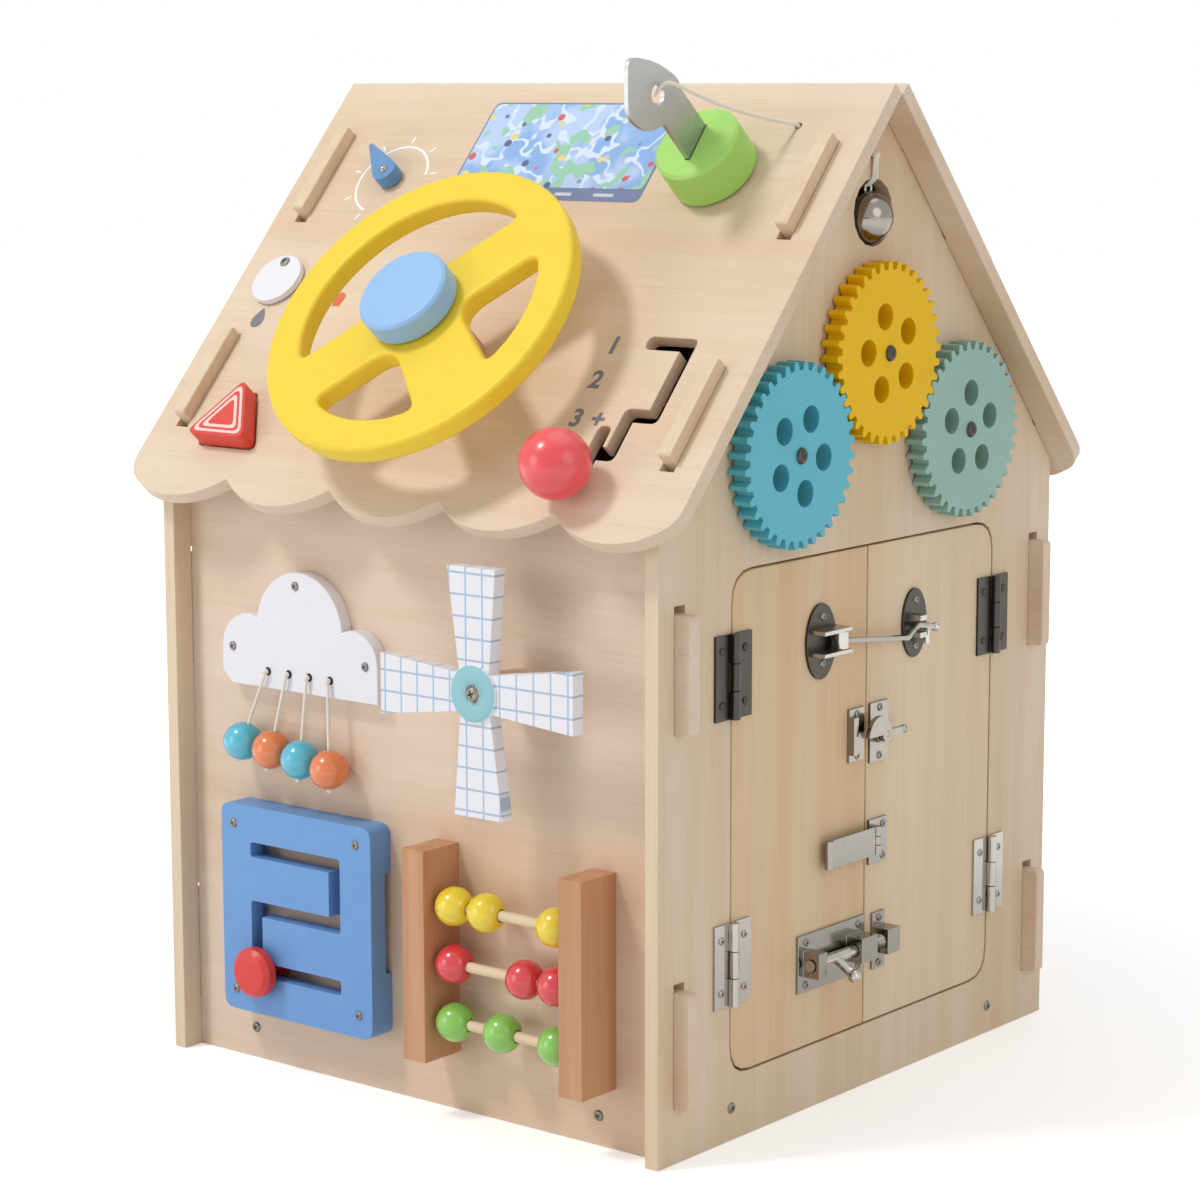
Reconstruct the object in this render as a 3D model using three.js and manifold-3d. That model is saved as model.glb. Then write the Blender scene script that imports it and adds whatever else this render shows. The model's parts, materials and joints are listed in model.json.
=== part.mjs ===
// Wooden activity house: plywood house with play pieces on its roof, front and gable.
// Millimetres, +Z up. The gable with the doors faces +X, the front wall faces -Y.
import * as THREE from "three";
import { mergeVertices } from "three/addons/utils/BufferGeometryUtils.js";
import Module from "manifold-3d";

const wasm = await Module();
wasm.setup();

// Shell of the house
const PLY = 7;
const WIDTH = 300;
const DEPTH = 317;
const RIDGE = 462.4;
const ROOF_DEG = 48.5;
const WALL_RECESS = 11.5;
const FIT = 0.3; // seat under a piece that lies on a turned plate
const SLIT = 0.3; // clearance of a tab in its slot
const OVERRUN = 1; // how far a cutter passes the face it leaves
const WALL_TABS = { proud: 8.5, low: 25.3, high: 191.6, length: 52.2, round: 2.5, slotExtra: 3.6 };
const FLOOR = { low: 11.5, round: 0.5 };
const ROOF = { overhang: 15, length: 255, scallops: 5, dip: 12, corner: 11, steps: 8 };
const GABLE_TABS = { first: 34, eave: 43, length: 52, proud: 6.5, slotExtra: 4, round: 2 };

// Door opening and doors
const DOOR = { half: 106.5, low: 29.5, high: 258, corner: 15, gap: 1, split: -1 };

// Butt hinges, placed by the height of their middle
const HINGE = { upper: 211.5, lower: 82, height: 38, frameLeaf: 12.5, doorLeaf: 14, sheet: 1.2 };
const KNUCKLE = { radius: 2.3, pin: 1.1, play: 0.06, axis: 2.5, gap: 0.4, bands: 3 };

// Gear train on the gable: the spacing sets the tooth size
const GEAR_TEETH = 36;
const GEAR = { across: 69, highZ: 346, lowZ: 305.5, thick: 9, play: 1.1, peg: 3, bore: 3.06 };
const GEAR_HOLES = { count: 5, radius: 6.2, ring: 17.3 };
const GEAR_BOSS = { radius: 7, gap: 0.3 };
const PRESSURE_DEG = 20;
const ADDENDUM_SHARE = 0.7;
const DEDENDUM_SHARE = 0.98;
const BACKLASH_SHARE = 0.1;
const YELLOW_PHASE_DEG = 0.41;
const YELLOW_HOLES_DEG = 14;
const CYAN_HOLES_DEG = -25;

// Bell in its round window
const BELL_HOLE = { z: 409.3, radius: 15.5 };
const CORD_HOLE = { y: -1, z: 435, radius: 1.7 };
const BELL = { z: 407.2, off: -2.6, radius: 12, slot: 1.8, slotDeep: 3.6, eye: 2.4, eyeWire: 0.9 };
const BELL_CORD = { radius: 0.75, off: 1.9, lip: 1.3, knot: 1.5, spread: 1.2 };

// Hook latch
const HOOK_PLATE = { y: -39.5, z: 217.9, wide: 23, tall: 35, sheet: 1.4 };
const CLEVIS = { left: -48, right: -26.2, reach: 9.2, ear: 1.8, gap: 8.4 };
const HOOK_PIN = { y: -30.2, off: 5.6, radius: 1.3, bore: 1.36 };
const HOOK = { eye: 3.4, eyeTall: 7.8, rod: 1.4, ball: 2.3, prong: 8.4, bend: 1.6 };
const HOOK_BENDS = [
  [-30.2, -0.5],
  [24, -6.5],
  [33, -1.7],
  [41, -3],
  [48, -4.4],
];
const CATCH_PLATE = { y: 36.8, z: 216.5, wide: 20, tall: 33, sheet: 1.4 };
const CATCH = { left: 31.5, right: 37, lug: 2.6, reach: 8, play: 0.6 };

// Sash lock
const SASH_KEEPER = { left: -16.7, right: -4.4, low: 157.8, high: 182.8, sheet: 1.4, lug: 3.6, rise: 4.2 };
const SASH_BASE = { left: 0.4, right: 15.5, low: 154.8, high: 183.3, sheet: 1.4, boss: 4.6, rise: 5.4 };
const SASH_CAM = { y: 5.2, z: 169, off: 5.8, sheet: 2.2, half: 9.2, halfY: -5.6, pin: 1.6, bore: 1.66 };
const SASH_LEVER = { reach: 14.6, wide: 3.2, ball: 2.2, hub: 3.8 };

// Flip latch
const FLIP_BASE = { left: 0.4, right: 15.3, low: 106.4, high: 127.8, sheet: 1.4 };
const FLIP = { left: -36.4, low: 111.8, high: 125.2, sheet: 1.3, curl: 2.1, knuckle: 2, pin: 0.9, bore: 0.96 };
const FLIP_AXIS = { y: 2.6, off: 4.4 };

// Barrel bolt
const BOLT_BASE = { left: -55.9, right: -2.6, low: 56.5, high: 83.5, sheet: 1.4 };
const BOLT = { z: 70, off: 5.6, radius: 2.8, bore: 3.1, tip: -2.4, tail: -53 };
const BOLT_GUIDE = { wide: 13, left: -52, second: -17.5, reach: 10.2, tall: 12 };
const BOLT_KNOB = { y: -33, down: 7, out: 11, radius: 2.2, ball: 3.2 };
const BOLT_KEEPER = { left: 4.2, right: 14.3, low: 55.2, high: 82.5, sheet: 1.4 };

// Steering wheel, heights over the roof
const WHEEL = { x: 2.7, down: 167, radius: 80, inner: 62, thick: 10.5, face: 40, bar: 15, spoke: 17 };
const WHEEL_DETAIL = { flare: 2, hub: 27, fillet: 6, edge: 1.8, shaft: 5, bore: 5.06, play: 0.3 };
const WHEEL_TURN_DEG = 46.5;
const WHEEL_CAP = { radius: 22.5, thick: 13, edge: 1.5 };
const WHEEL_POST = { radius: 13 };

// Gear shift: the slot's middle line as x and distance up from the roof's lower edge
const GATE = { width: 7.2, right: 125.4, topX: 105.3, top: 105, middle: 66, inner: 112.5, join: 45 };
const GATE_STRAIGHT = { x: 103, top: 56, low: 26 };
const SHIFT = { up: 26.5, stem: 2.6, ball: 16.3, height: 17.3, washer: 6, washerThick: 1.6, nut: 1.4 };
const WALL_NOTCH = { half: 9, deep: 8 };

// Lock on its bolt, its key and the key's cord
const LOCK = { x: 92, down: 53.5, radius: 21, height: 21, edge: 1.5, slotDeep: 12, slotPlay: 0.35 };
const LOCK_BOLT = { radius: 2.8, bore: 3.1, head: 6, headThick: 3, sides: 6 };
const KEY = { sheet: 2.2, shank: 20, root: -10, neck: 23.5, low: 30, side: 45.5, top: 63, corner: 7 };
const KEY_BOW = { left: -26, right: 12, lean: 5, peak: -5, holeX: -3.5, holeAt: 35.7, hole: 4.8 };
const KEY_TURN_DEG = 92;
const CORD_RADIUS = 0.9;
const CORD_STEPS = 26;
const CORD_ROUTE = [
  [91.2, -57, 64],
  [93.2, -56.6, 65.2],
  [95.4, -54.6, 67],
  [97.6, -51.6, 66],
  [99.6, -49.2, 60.8],
  [101.3, -47.2, 54.9],
  [103.7, -45.3, 48.9],
  [106.1, -43.4, 43.6],
  [108.4, -41.3, 38.5],
  [110.8, -39.1, 33.5],
  [113.1, -36.8, 28.5],
  [115.5, -34.3, 23.7],
  [117.9, -31.8, 19],
  [120.2, -29.1, 14.4],
  [122.6, -26.3, 9.9],
  [123.5, -25.5, 8.4],
  [123.7, -25.3, 6.2],
  [123.7, -25.3, 3],
  [123.7, -25.3, -3.5],
];
const CORD_HOLE_ROOF = { x: 123.7, down: 25.3, radius: 1.9 };

// Small pieces on the roof
const HAZARD = { x: -111.3, up: 46.5, side: 38.5, round: 5.5, thick: 10, pocket: 3.4, play: 0.5 };
const COVER = { x: -136.4, down: 118, hang: 9.8, radius: 14, thick: 3, gap: 0.4, bore: 1.7 };
const DIAL = { x: -102, down: 62, radius: 6.4, tip: 24, tipRadius: 1.2, thick: 7, gap: 0.5, bore: 1.7 };
const DIAL_REST_DEG = 139;

// Cloud with its pendants, x and z on the front wall
const CLOUD = { left: -116, right: -16, low: 185.6, topX: -65.5, topZ: 215, top: 27.6, foot: 6 };
const CLOUD_LOBES = { left: 17, right: 15.5, rise: 17.5 };
const STRING_X = [-86, -72.5, -59.3, -45.9];
const STRING = { z: 193.8, radius: 0.8, knot: 1.4 };
const PENDANT_X = [-100.3, -81.5, -62.8, -44.1];
const PENDANT_Z = [159, 157.2, 154.8, 152.4];
const PENDANT = { radius: 9.2, off: 10.4 };

// Windmill
const MILL = { x: 64.6, z: 204.5, radius: 55.5, thick: 7, face: 32, root: 7.6, lead: 15.5, trail: 12.2 };
const MILL_HUB = { radius: 12.8, thick: 1.2, post: 7.5, shaft: 3, bore: 3.06, play: 0.3 };

// Maze
const MAZE = { left: -112, right: -15.5, low: 28, high: 129, thick: 14, corner: 6, slot: 7.2, track: 14 };
const MAZE_PATH = { left: -89.5, right: -38.6, low: 50, middle: 79.5, high: 108, trackDeep: 6.5 };
const MAZE_MOUTH = { low: 58, high: 106, deep: 4.2, inward: 7 };
const MAZE_KNOB = { start: 3, stem: 3.1, foot: 6, footThick: 3, head: 12, headThick: 9, play: 0.6, edge: 2.4 };

// Abacus
const ABACUS = { left: 13.5, right: 118, post: 13, deep: 24.4, low: 28, high: 126.5, rod: 2.4, rodOff: 14 };
const ROD_Z = [100.9, 74, 46.8];
const BEAD_X = [
  [36, 55, 95.3],
  [36, 77.3, 95.7],
  [36, 64, 95.7],
];
const BEAD = { radius: 9, bore: 3, steps: 6 };

const TAU = 2 * Math.PI;
const ROOF_TILT = THREE.MathUtils.degToRad(ROOF_DEG);
const ROOF_COS = Math.cos(ROOF_TILT);
const ROOF_SIN = Math.sin(ROOF_TILT);
const FACE = WIDTH / 2;
const INSIDE = FACE - PLY;
const WALL_FACE = DEPTH / 2 - WALL_RECESS;
const TOLERANCE_SHARE = 1e-6;
const ROUND_STEPS = 4;
const WIRE_STEPS = 8;
const KNOB_STEPS = 10;
const BALL_STEPS = 16;
const PIN_STEPS = 16;
const BOSS_STEPS = 20;
const SHAFT_STEPS = 24;
const DISC_STEPS = 28;
const WIDE_STEPS = 36;
const fromRidge = (up) => ROOF.length - up;
const GABLE_TAB_STARTS = [GABLE_TABS.first, fromRidge(GABLE_TABS.eave + GABLE_TABS.length)];

// Solids

function solid(geometry) {
  const bare = geometry.clone();
  bare.deleteAttribute("normal");
  bare.deleteAttribute("uv");
  const merged = mergeVertices(bare, TOLERANCE_SHARE * WIDTH);
  const vertProperties = new Float32Array(merged.attributes.position.array);
  const corners = merged.index.array;
  const kept = [];
  for (let i = 0; i < corners.length; i += 3) {
    const [a, b, c] = [corners[i], corners[i + 1], corners[i + 2]];
    if (a !== b && b !== c && c !== a) kept.push(a, b, c);
  }
  const triVerts = new Uint32Array(kept);
  const make = () => new wasm.Manifold(new wasm.Mesh({ numProp: 3, vertProperties, triVerts }));
  const made = make();
  if (made.volume() >= 0) return made;
  for (let i = 0; i < triVerts.length; i += 3) {
    [triVerts[i + 1], triVerts[i + 2]] = [triVerts[i + 2], triVerts[i + 1]];
  }
  return make();
}

function join(first, ...others) {
  return others.reduce((sum, other) => sum.add(other), first);
}

function cut(first, ...others) {
  return others.reduce((rest, other) => rest.subtract(other), first);
}

function geometryOf(body) {
  const mesh = body.getMesh();
  const geometry = new THREE.BufferGeometry();
  geometry.setAttribute("position", new THREE.BufferAttribute(mesh.vertProperties, mesh.numProp));
  geometry.setIndex(new THREE.BufferAttribute(mesh.triVerts, 1));
  const flat = geometry.toNonIndexed();
  flat.computeVertexNormals();
  return flat;
}

function extrude(outline, depth, from = 0, edge = 0, curveSegments = PIN_STEPS / 2) {
  const bevel = { bevelEnabled: edge > 0, bevelSize: edge, bevelThickness: edge, bevelOffset: -edge };
  const geometry = new THREE.ExtrudeGeometry(outline, {
    depth: depth - 2 * edge,
    steps: 1,
    curveSegments,
    bevelSegments: 1,
    ...bevel,
  });
  geometry.translate(0, 0, from + edge);
  return solid(geometry);
}

// Holes cut through a plate one by one
function punched(plate, holes, depth, from = 0) {
  return cut(plate, ...holes.map((hole) => extrude(hole, depth + 2 * OVERRUN, from - OVERRUN)));
}

function path(points, Kind = THREE.Shape) {
  const outline = new Kind();
  outline.setFromPoints(points.map(([x, y]) => new THREE.Vector2(x, y)));
  outline.closePath();
  return outline;
}

function rounded(points, radius, Kind = THREE.Shape) {
  const outline = new Kind();
  const corners = points.map(([x, y]) => new THREE.Vector2(x, y));
  corners.forEach((corner, i) => {
    const before = corners[(i + corners.length - 1) % corners.length];
    const after = corners[(i + 1) % corners.length];
    const inward = before.clone().sub(corner);
    const onward = after.clone().sub(corner);
    const least = Math.min(inward.length(), onward.length()) / 2;
    const bend = Math.min(Array.isArray(radius) ? radius[i] : radius, least);
    const start = corner.clone().add(inward.setLength(bend));
    const end = corner.clone().add(onward.setLength(bend));
    if (i === 0) outline.moveTo(start.x, start.y);
    else outline.lineTo(start.x, start.y);
    if (bend > 0) {
      const curve = new THREE.QuadraticBezierCurve(start, corner, end);
      for (const point of curve.getPoints(ROUND_STEPS).slice(1)) outline.lineTo(point.x, point.y);
    }
  });
  outline.closePath();
  return outline;
}

function box(left, right, low, high, round = 0, Kind = THREE.Shape) {
  const corners = [
    [left, low],
    [right, low],
    [right, high],
    [left, high],
  ];
  return round > 0 ? rounded(corners, round, Kind) : path(corners, Kind);
}

function ring(x, y, radius, Kind = THREE.Shape) {
  const outline = new Kind();
  outline.absarc(x, y, radius, 0, TAU);
  return outline;
}

function disc(x, y, radius, depth, from = 0, segments = BOSS_STEPS, edge = 0) {
  return extrude(ring(x, y, radius), depth, from, edge, segments / 2);
}

function ball(x, y, z, radius, across = BALL_STEPS) {
  const geometry = new THREE.SphereGeometry(radius, across, Math.ceil(across / 2) + 1);
  geometry.translate(x, y, z);
  return solid(geometry);
}

// A round bar from one point to another
function rod(from, to, radius, segments = PIN_STEPS) {
  const a = new THREE.Vector3(...from);
  const b = new THREE.Vector3(...to);
  const along = b.clone().sub(a);
  const geometry = new THREE.CylinderGeometry(radius, radius, along.length(), segments);
  const turn = new THREE.Quaternion().setFromUnitVectors(
    new THREE.Vector3(0, 1, 0),
    along.clone().normalize(),
  );
  geometry.applyQuaternion(turn);
  geometry.translate(...a.add(b).multiplyScalar(0.5).toArray());
  return solid(geometry);
}

// A closed profile of radius and height turned round the local Z axis
function turned(profile, segments) {
  const points = profile.map(([radius, height]) => new THREE.Vector2(radius, height));
  const geometry = new THREE.LatheGeometry(points, segments);
  geometry.rotateX(Math.PI / 2);
  return solid(geometry);
}

function placed(body, x, y, z) {
  return body.translate([x, y, z]);
}

// Materials

function paint(color, roughness = 0.5, metalness = 0) {
  return new THREE.MeshStandardMaterial({ color, roughness, metalness });
}

const PINE = paint("#e3c9a4", 0.6);
const BEECH = paint("#c48d62", 0.6);
const YELLOW = paint("#f2cd2c", 0.5);
const CYAN = paint("#41b4c4", 0.5);
const SAGE = paint("#8fc0b0", 0.5);
const SKY = paint("#7fb0df", 0.5);
const BLUE = paint("#4f86cc", 0.5);
const RED = paint("#e23b3c", 0.35);
const GREEN = paint("#8fce55", 0.45);
const ORANGE = paint("#e98445", 0.4);
const TURQUOISE = paint("#4bb8d0", 0.4);
const WHITE = paint("#f4f4f2", 0.5);
const STEEL = paint("#c9cacc", 0.25, 1);
const DARK_STEEL = paint("#4d4a47", 0.4, 1);
const CORD = paint("#efe9dc", 0.8);

// Frames: each holds the pieces of one side in that side's own x, y and outward z

const house = new THREE.Group();

function frame(parent, x, y, z) {
  const group = new THREE.Group();
  group.position.set(x, y, z);
  parent.add(group);
  return group;
}

const side = frame(house, FACE, 0, 0);
side.quaternion.set(0.5, 0.5, 0.5, 0.5);
const farSide = frame(house, -FACE, 0, 0);
farSide.quaternion.set(0.5, 0.5, 0.5, 0.5);
const front = frame(house, 0, -WALL_FACE, 0);
front.rotation.x = Math.PI / 2;
const back = frame(house, 0, WALL_FACE, 0);
back.rotation.set(Math.PI / 2, Math.PI, 0, "XYZ");
const roof = frame(house, 0, 0, RIDGE);
roof.rotation.x = ROOF_TILT;
const turnedHalf = frame(house, 0, 0, RIDGE);
turnedHalf.rotation.z = Math.PI;
const roofBack = frame(turnedHalf, 0, 0, 0);
roofBack.rotation.x = ROOF_TILT;
const onRoof = frame(roof, 0, 0, PLY + FIT);

function piece(parent, name, body, material, x = 0, y = 0, z = 0) {
  const mesh = new THREE.Mesh(geometryOf(body), material);
  mesh.name = name;
  mesh.position.set(x, y, z);
  parent.add(mesh);
  return mesh;
}

// Gables: pentagons with tabs through the roofs and slots for the walls' tabs

function gableOutline() {
  const at = (down, up) => [down * ROOF_COS + up * ROOF_SIN, RIDGE - down * ROOF_SIN + up * ROOF_COS];
  const half = DEPTH / 2;
  const edge = [];
  const round = [];
  edge.push([half, 0], [half, RIDGE - (FIT + half * ROOF_SIN) / ROOF_COS]);
  round.push(0, 0);
  for (const start of GABLE_TAB_STARTS.slice().reverse()) {
    const end = start + GABLE_TABS.length;
    edge.push(at(end, -FIT), at(end, PLY + GABLE_TABS.proud));
    edge.push(at(start, PLY + GABLE_TABS.proud), at(start, -FIT));
    round.push(0, GABLE_TABS.round, GABLE_TABS.round, 0);
  }
  const mirrored = edge.map(([y, z]) => [-y, z]).reverse();
  const apex = [0, RIDGE - FIT / ROOF_COS];
  return rounded([...edge, apex, ...mirrored], [...round, 0, ...round.slice().reverse()]);
}

function wallSlots() {
  const slots = [];
  for (const low of [WALL_TABS.low, WALL_TABS.high]) {
    const high = low + WALL_TABS.length + WALL_TABS.slotExtra;
    for (const turn of [-1, 1]) {
      const near = turn * (WALL_FACE + SLIT);
      const far = turn * (WALL_FACE - PLY - SLIT);
      slots.push(box(Math.min(near, far), Math.max(near, far), low - SLIT, high));
    }
  }
  return slots;
}

function gable(holes) {
  return punched(extrude(gableOutline(), PLY, -PLY), [...wallSlots(), ...holes], PLY, -PLY);
}

const doorWay = box(-DOOR.half, DOOR.half, DOOR.low, DOOR.high, DOOR.corner);
const gearPlaces = [
  { name: "gear_yellow", y: 0, z: GEAR.highZ, material: YELLOW },
  { name: "gear_cyan", y: -GEAR.across, z: GEAR.lowZ, material: CYAN },
  { name: "gear_sage", y: GEAR.across, z: GEAR.lowZ, material: SAGE },
];
const gearPegs = gearPlaces.map(({ y, z }) =>
  join(
    disc(y, z, GEAR_BOSS.radius, GEAR.play - GEAR_BOSS.gap + OVERRUN, -OVERRUN),
    disc(y, z, GEAR.peg, GEAR.play + GEAR.thick + OVERRUN, -OVERRUN, SHAFT_STEPS),
  ),
);
const bellHoles = [
  ring(0, BELL_HOLE.z, BELL_HOLE.radius),
  ring(CORD_HOLE.y, CORD_HOLE.z, CORD_HOLE.radius),
];
piece(side, "gable_right", join(gable([doorWay, ...bellHoles]), ...gearPegs), PINE);
piece(farSide, "gable_left", placed(gable([]), 0, 0, PLY), PINE);

// Walls between the gables, tabs standing out through their slots

function wallOutline() {
  const reach = FACE + WALL_TABS.proud;
  const top = RIDGE - (WALL_FACE * ROOF_SIN + FIT) / ROOF_COS;
  const edge = [[INSIDE, 0]];
  const round = [0];
  for (const low of [WALL_TABS.low, WALL_TABS.high]) {
    const high = low + WALL_TABS.length;
    edge.push([INSIDE, low], [reach, low], [reach, high], [INSIDE, high]);
    round.push(0, WALL_TABS.round, WALL_TABS.round, 0);
  }
  edge.push([INSIDE, top]);
  round.push(0);
  const mirrored = edge.map(([x, z]) => [-x, z]).reverse();
  return { corners: [...edge, ...mirrored], round: [...round, ...round.slice().reverse()], top };
}

const wall = wallOutline();
const frontPlate = extrude(rounded(wall.corners, wall.round), PLY, -PLY);
const notch = extrude(
  box(
    GATE_STRAIGHT.x - WALL_NOTCH.half,
    GATE_STRAIGHT.x + WALL_NOTCH.half,
    wall.top - WALL_NOTCH.deep,
    wall.top + OVERRUN,
  ),
  PLY + 2 * OVERRUN,
  -PLY - OVERRUN,
);
const millBack = MILL.face - MILL.thick;
const millPost = join(
  disc(MILL.x, MILL.z, MILL_HUB.post, millBack - MILL_HUB.play + OVERRUN, -OVERRUN),
  disc(MILL.x, MILL.z, MILL_HUB.shaft, MILL.face - MILL_HUB.play + OVERRUN, -OVERRUN, SHAFT_STEPS),
);
piece(front, "front_wall", join(cut(frontPlate, notch), millPost), PINE);
piece(back, "back_wall", frontPlate, PINE);
const floorHalf = WALL_FACE - PLY;
const floorShape = box(-INSIDE, INSIDE, -floorHalf, floorHalf, FLOOR.round);
piece(house, "floor_panel", extrude(floorShape, PLY), PINE, 0, 0, FLOOR.low);

// Roof panels: scalloped lower edge, slots for the gables' tabs

const roofHalf = FACE + ROOF.overhang;
const scallopWide = (2 * roofHalf) / ROOF.scallops;
const scallopRadius = ((scallopWide / 2) ** 2 + ROOF.dip ** 2) / (2 * ROOF.dip);

function roofOutline() {
  const cusp = ROOF.length - ROOF.dip;
  const centre = ROOF.length - scallopRadius;
  const points = [
    [-roofHalf, -FIT / 2],
    [-roofHalf, -cusp],
  ];
  const round = [0, ROOF.corner];
  for (let i = 0; i < ROOF.scallops; i++) {
    const middle = -roofHalf + (i + 0.5) * scallopWide;
    const last = i === ROOF.scallops - 1;
    for (let k = 1; k <= ROOF.steps; k++) {
      const x = middle + scallopWide * (k / ROOF.steps - 0.5);
      const first = i === 0 && k === 1;
      const nearEnd = last && k === ROOF.steps - 1;
      if (first || nearEnd) continue;
      points.push([x, -centre - Math.sqrt(scallopRadius ** 2 - (x - middle) ** 2)]);
      round.push(last && k === ROOF.steps ? ROOF.corner : 0);
    }
  }
  points.push([roofHalf, -FIT / 2]);
  round.push(0);
  return rounded(points, round);
}

function roofSlots() {
  const slots = [];
  for (const start of GABLE_TAB_STARTS) {
    const end = start + GABLE_TABS.length + GABLE_TABS.slotExtra;
    for (const turn of [-1, 1]) {
      const near = turn * (INSIDE - SLIT);
      const far = turn * (FACE + SLIT);
      slots.push(box(Math.min(near, far), Math.max(near, far), -end, -start + SLIT));
    }
  }
  return slots;
}

function roofPlate(holes = []) {
  return punched(extrude(roofOutline(), PLY), [...roofSlots(), ...holes], PLY);
}

function hazardShape(grow) {
  const high = (HAZARD.side * Math.sqrt(3)) / 2;
  const reach = grow * 2;
  const middle = -fromRidge(HAZARD.up);
  return rounded(
    [
      [HAZARD.x - HAZARD.side / 2 - reach, middle - high / 2 - grow],
      [HAZARD.x + HAZARD.side / 2 + reach, middle - high / 2 - grow],
      [HAZARD.x, middle + high / 2 + reach],
    ],
    HAZARD.round,
  );
}

function gateBar(x0, up0, x1, up1) {
  const half = GATE.width / 2;
  const left = Math.min(x0, x1) - half;
  const right = Math.max(x0, x1) + half;
  const low = -fromRidge(Math.min(up0, up1)) - half;
  const high = -fromRidge(Math.max(up0, up1)) + half;
  return extrude(box(left, right, low, high, half), PLY + 2 * OVERRUN, -OVERRUN);
}

const gateBars = [
  [GATE.topX, GATE.top, GATE.right, GATE.top],
  [GATE.right, GATE.top, GATE.right, GATE.middle],
  [GATE.inner, GATE.middle, GATE.right, GATE.middle],
  [GATE.inner, GATE.middle, GATE.inner, GATE.join],
  [GATE_STRAIGHT.x, GATE.join, GATE.inner, GATE.join],
  [GATE_STRAIGHT.x, GATE_STRAIGHT.top, GATE_STRAIGHT.x, GATE_STRAIGHT.low],
].map((ends) => gateBar(...ends));
const cordHole = ring(CORD_HOLE_ROOF.x, -CORD_HOLE_ROOF.down, CORD_HOLE_ROOF.radius);
const lockHole = ring(LOCK.x, -LOCK.down, LOCK_BOLT.bore);
const hazardPocket = extrude(hazardShape(HAZARD.play), HAZARD.pocket + OVERRUN, PLY - HAZARD.pocket);
piece(roof, "roof_front", cut(roofPlate([cordHole, lockHole]), hazardPocket, ...gateBars), PINE);
piece(roofBack, "roof_back", roofPlate(), PINE);

// Doors

const doorShapeLeft = [
  [-DOOR.half + DOOR.gap, DOOR.low + DOOR.gap],
  [DOOR.split - DOOR.gap / 2, DOOR.low + DOOR.gap],
  [DOOR.split - DOOR.gap / 2, DOOR.high - DOOR.gap],
  [-DOOR.half + DOOR.gap, DOOR.high - DOOR.gap],
];
const doorShapeRight = [
  [DOOR.half - DOOR.gap, DOOR.low + DOOR.gap],
  [DOOR.split + DOOR.gap / 2, DOOR.low + DOOR.gap],
  [DOOR.split + DOOR.gap / 2, DOOR.high - DOOR.gap],
  [DOOR.half - DOOR.gap, DOOR.high - DOOR.gap],
];
const doorRound = [DOOR.corner, 0, 0, DOOR.corner];
piece(side, "door_left", extrude(rounded(doorShapeLeft, doorRound), PLY, -PLY), PINE);
piece(side, "door_right", extrude(rounded(doorShapeRight, doorRound), PLY, -PLY), PINE);

// Hinges: the gable's leaf carries two knuckles and the pin, the door's leaf the middle knuckle

function hinge(place, middle, turn, material) {
  const y = turn * DOOR.half;
  const low = middle - HINGE.height / 2;
  const band = HINGE.height / KNUCKLE.bands;
  const clear = KNUCKLE.radius + KNUCKLE.gap;
  const span = (from, to) => [Math.min(y + turn * from, y + turn * to), Math.max(y + turn * from, y + turn * to)];
  const bar = (bottom, top, radius, segments) =>
    rod([y, bottom, KNUCKLE.axis], [y, top, KNUCKLE.axis], radius, segments);
  const sheet = (from, to, bottom, top) => extrude(box(...span(from, to), bottom, top), HINGE.sheet);
  const low1 = low + band;
  const low2 = low + 2 * band;
  const top = low + HINGE.height;
  const frameLeaf = join(
    sheet(clear, HINGE.frameLeaf, low, top),
    sheet(0, clear, low, low1),
    sheet(0, clear, low2, top),
    bar(low, low1, KNUCKLE.radius, PIN_STEPS),
    bar(low2, top, KNUCKLE.radius, PIN_STEPS),
    bar(low, top, KNUCKLE.pin, PIN_STEPS),
  );
  const knuckleLow = low1 + KNUCKLE.gap;
  const knuckleHigh = low2 - KNUCKLE.gap;
  const doorLeaf = cut(
    join(
      sheet(-HINGE.doorLeaf, -clear, low, top),
      sheet(-clear, 0, knuckleLow, knuckleHigh),
      bar(knuckleLow, knuckleHigh, KNUCKLE.radius, PIN_STEPS),
    ),
    bar(low, top, KNUCKLE.pin + KNUCKLE.play, PIN_STEPS),
  );
  piece(side, "hinge_" + place + "_frame_leaf", frameLeaf, material);
  piece(side, "hinge_" + place + "_door_leaf", doorLeaf, material);
}

hinge("left_upper", HINGE.upper, -1, DARK_STEEL);
hinge("left_lower", HINGE.lower, -1, STEEL);
hinge("right_upper", HINGE.upper, 1, DARK_STEEL);
hinge("right_lower", HINGE.lower, 1, STEEL);

// Hook latch: the arm turns on an upright pin and lies in a catch that is open outward

function ovalPlate({ y, z, wide, tall, sheet }) {
  const outline = new THREE.Shape();
  outline.absellipse(y, z, wide / 2, tall / 2, 0, TAU);
  return extrude(outline, sheet, 0, 0, DISC_STEPS / 2);
}

function upright(left, right, low, high, reach) {
  return extrude(box(left, right, low, high), reach);
}

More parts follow.
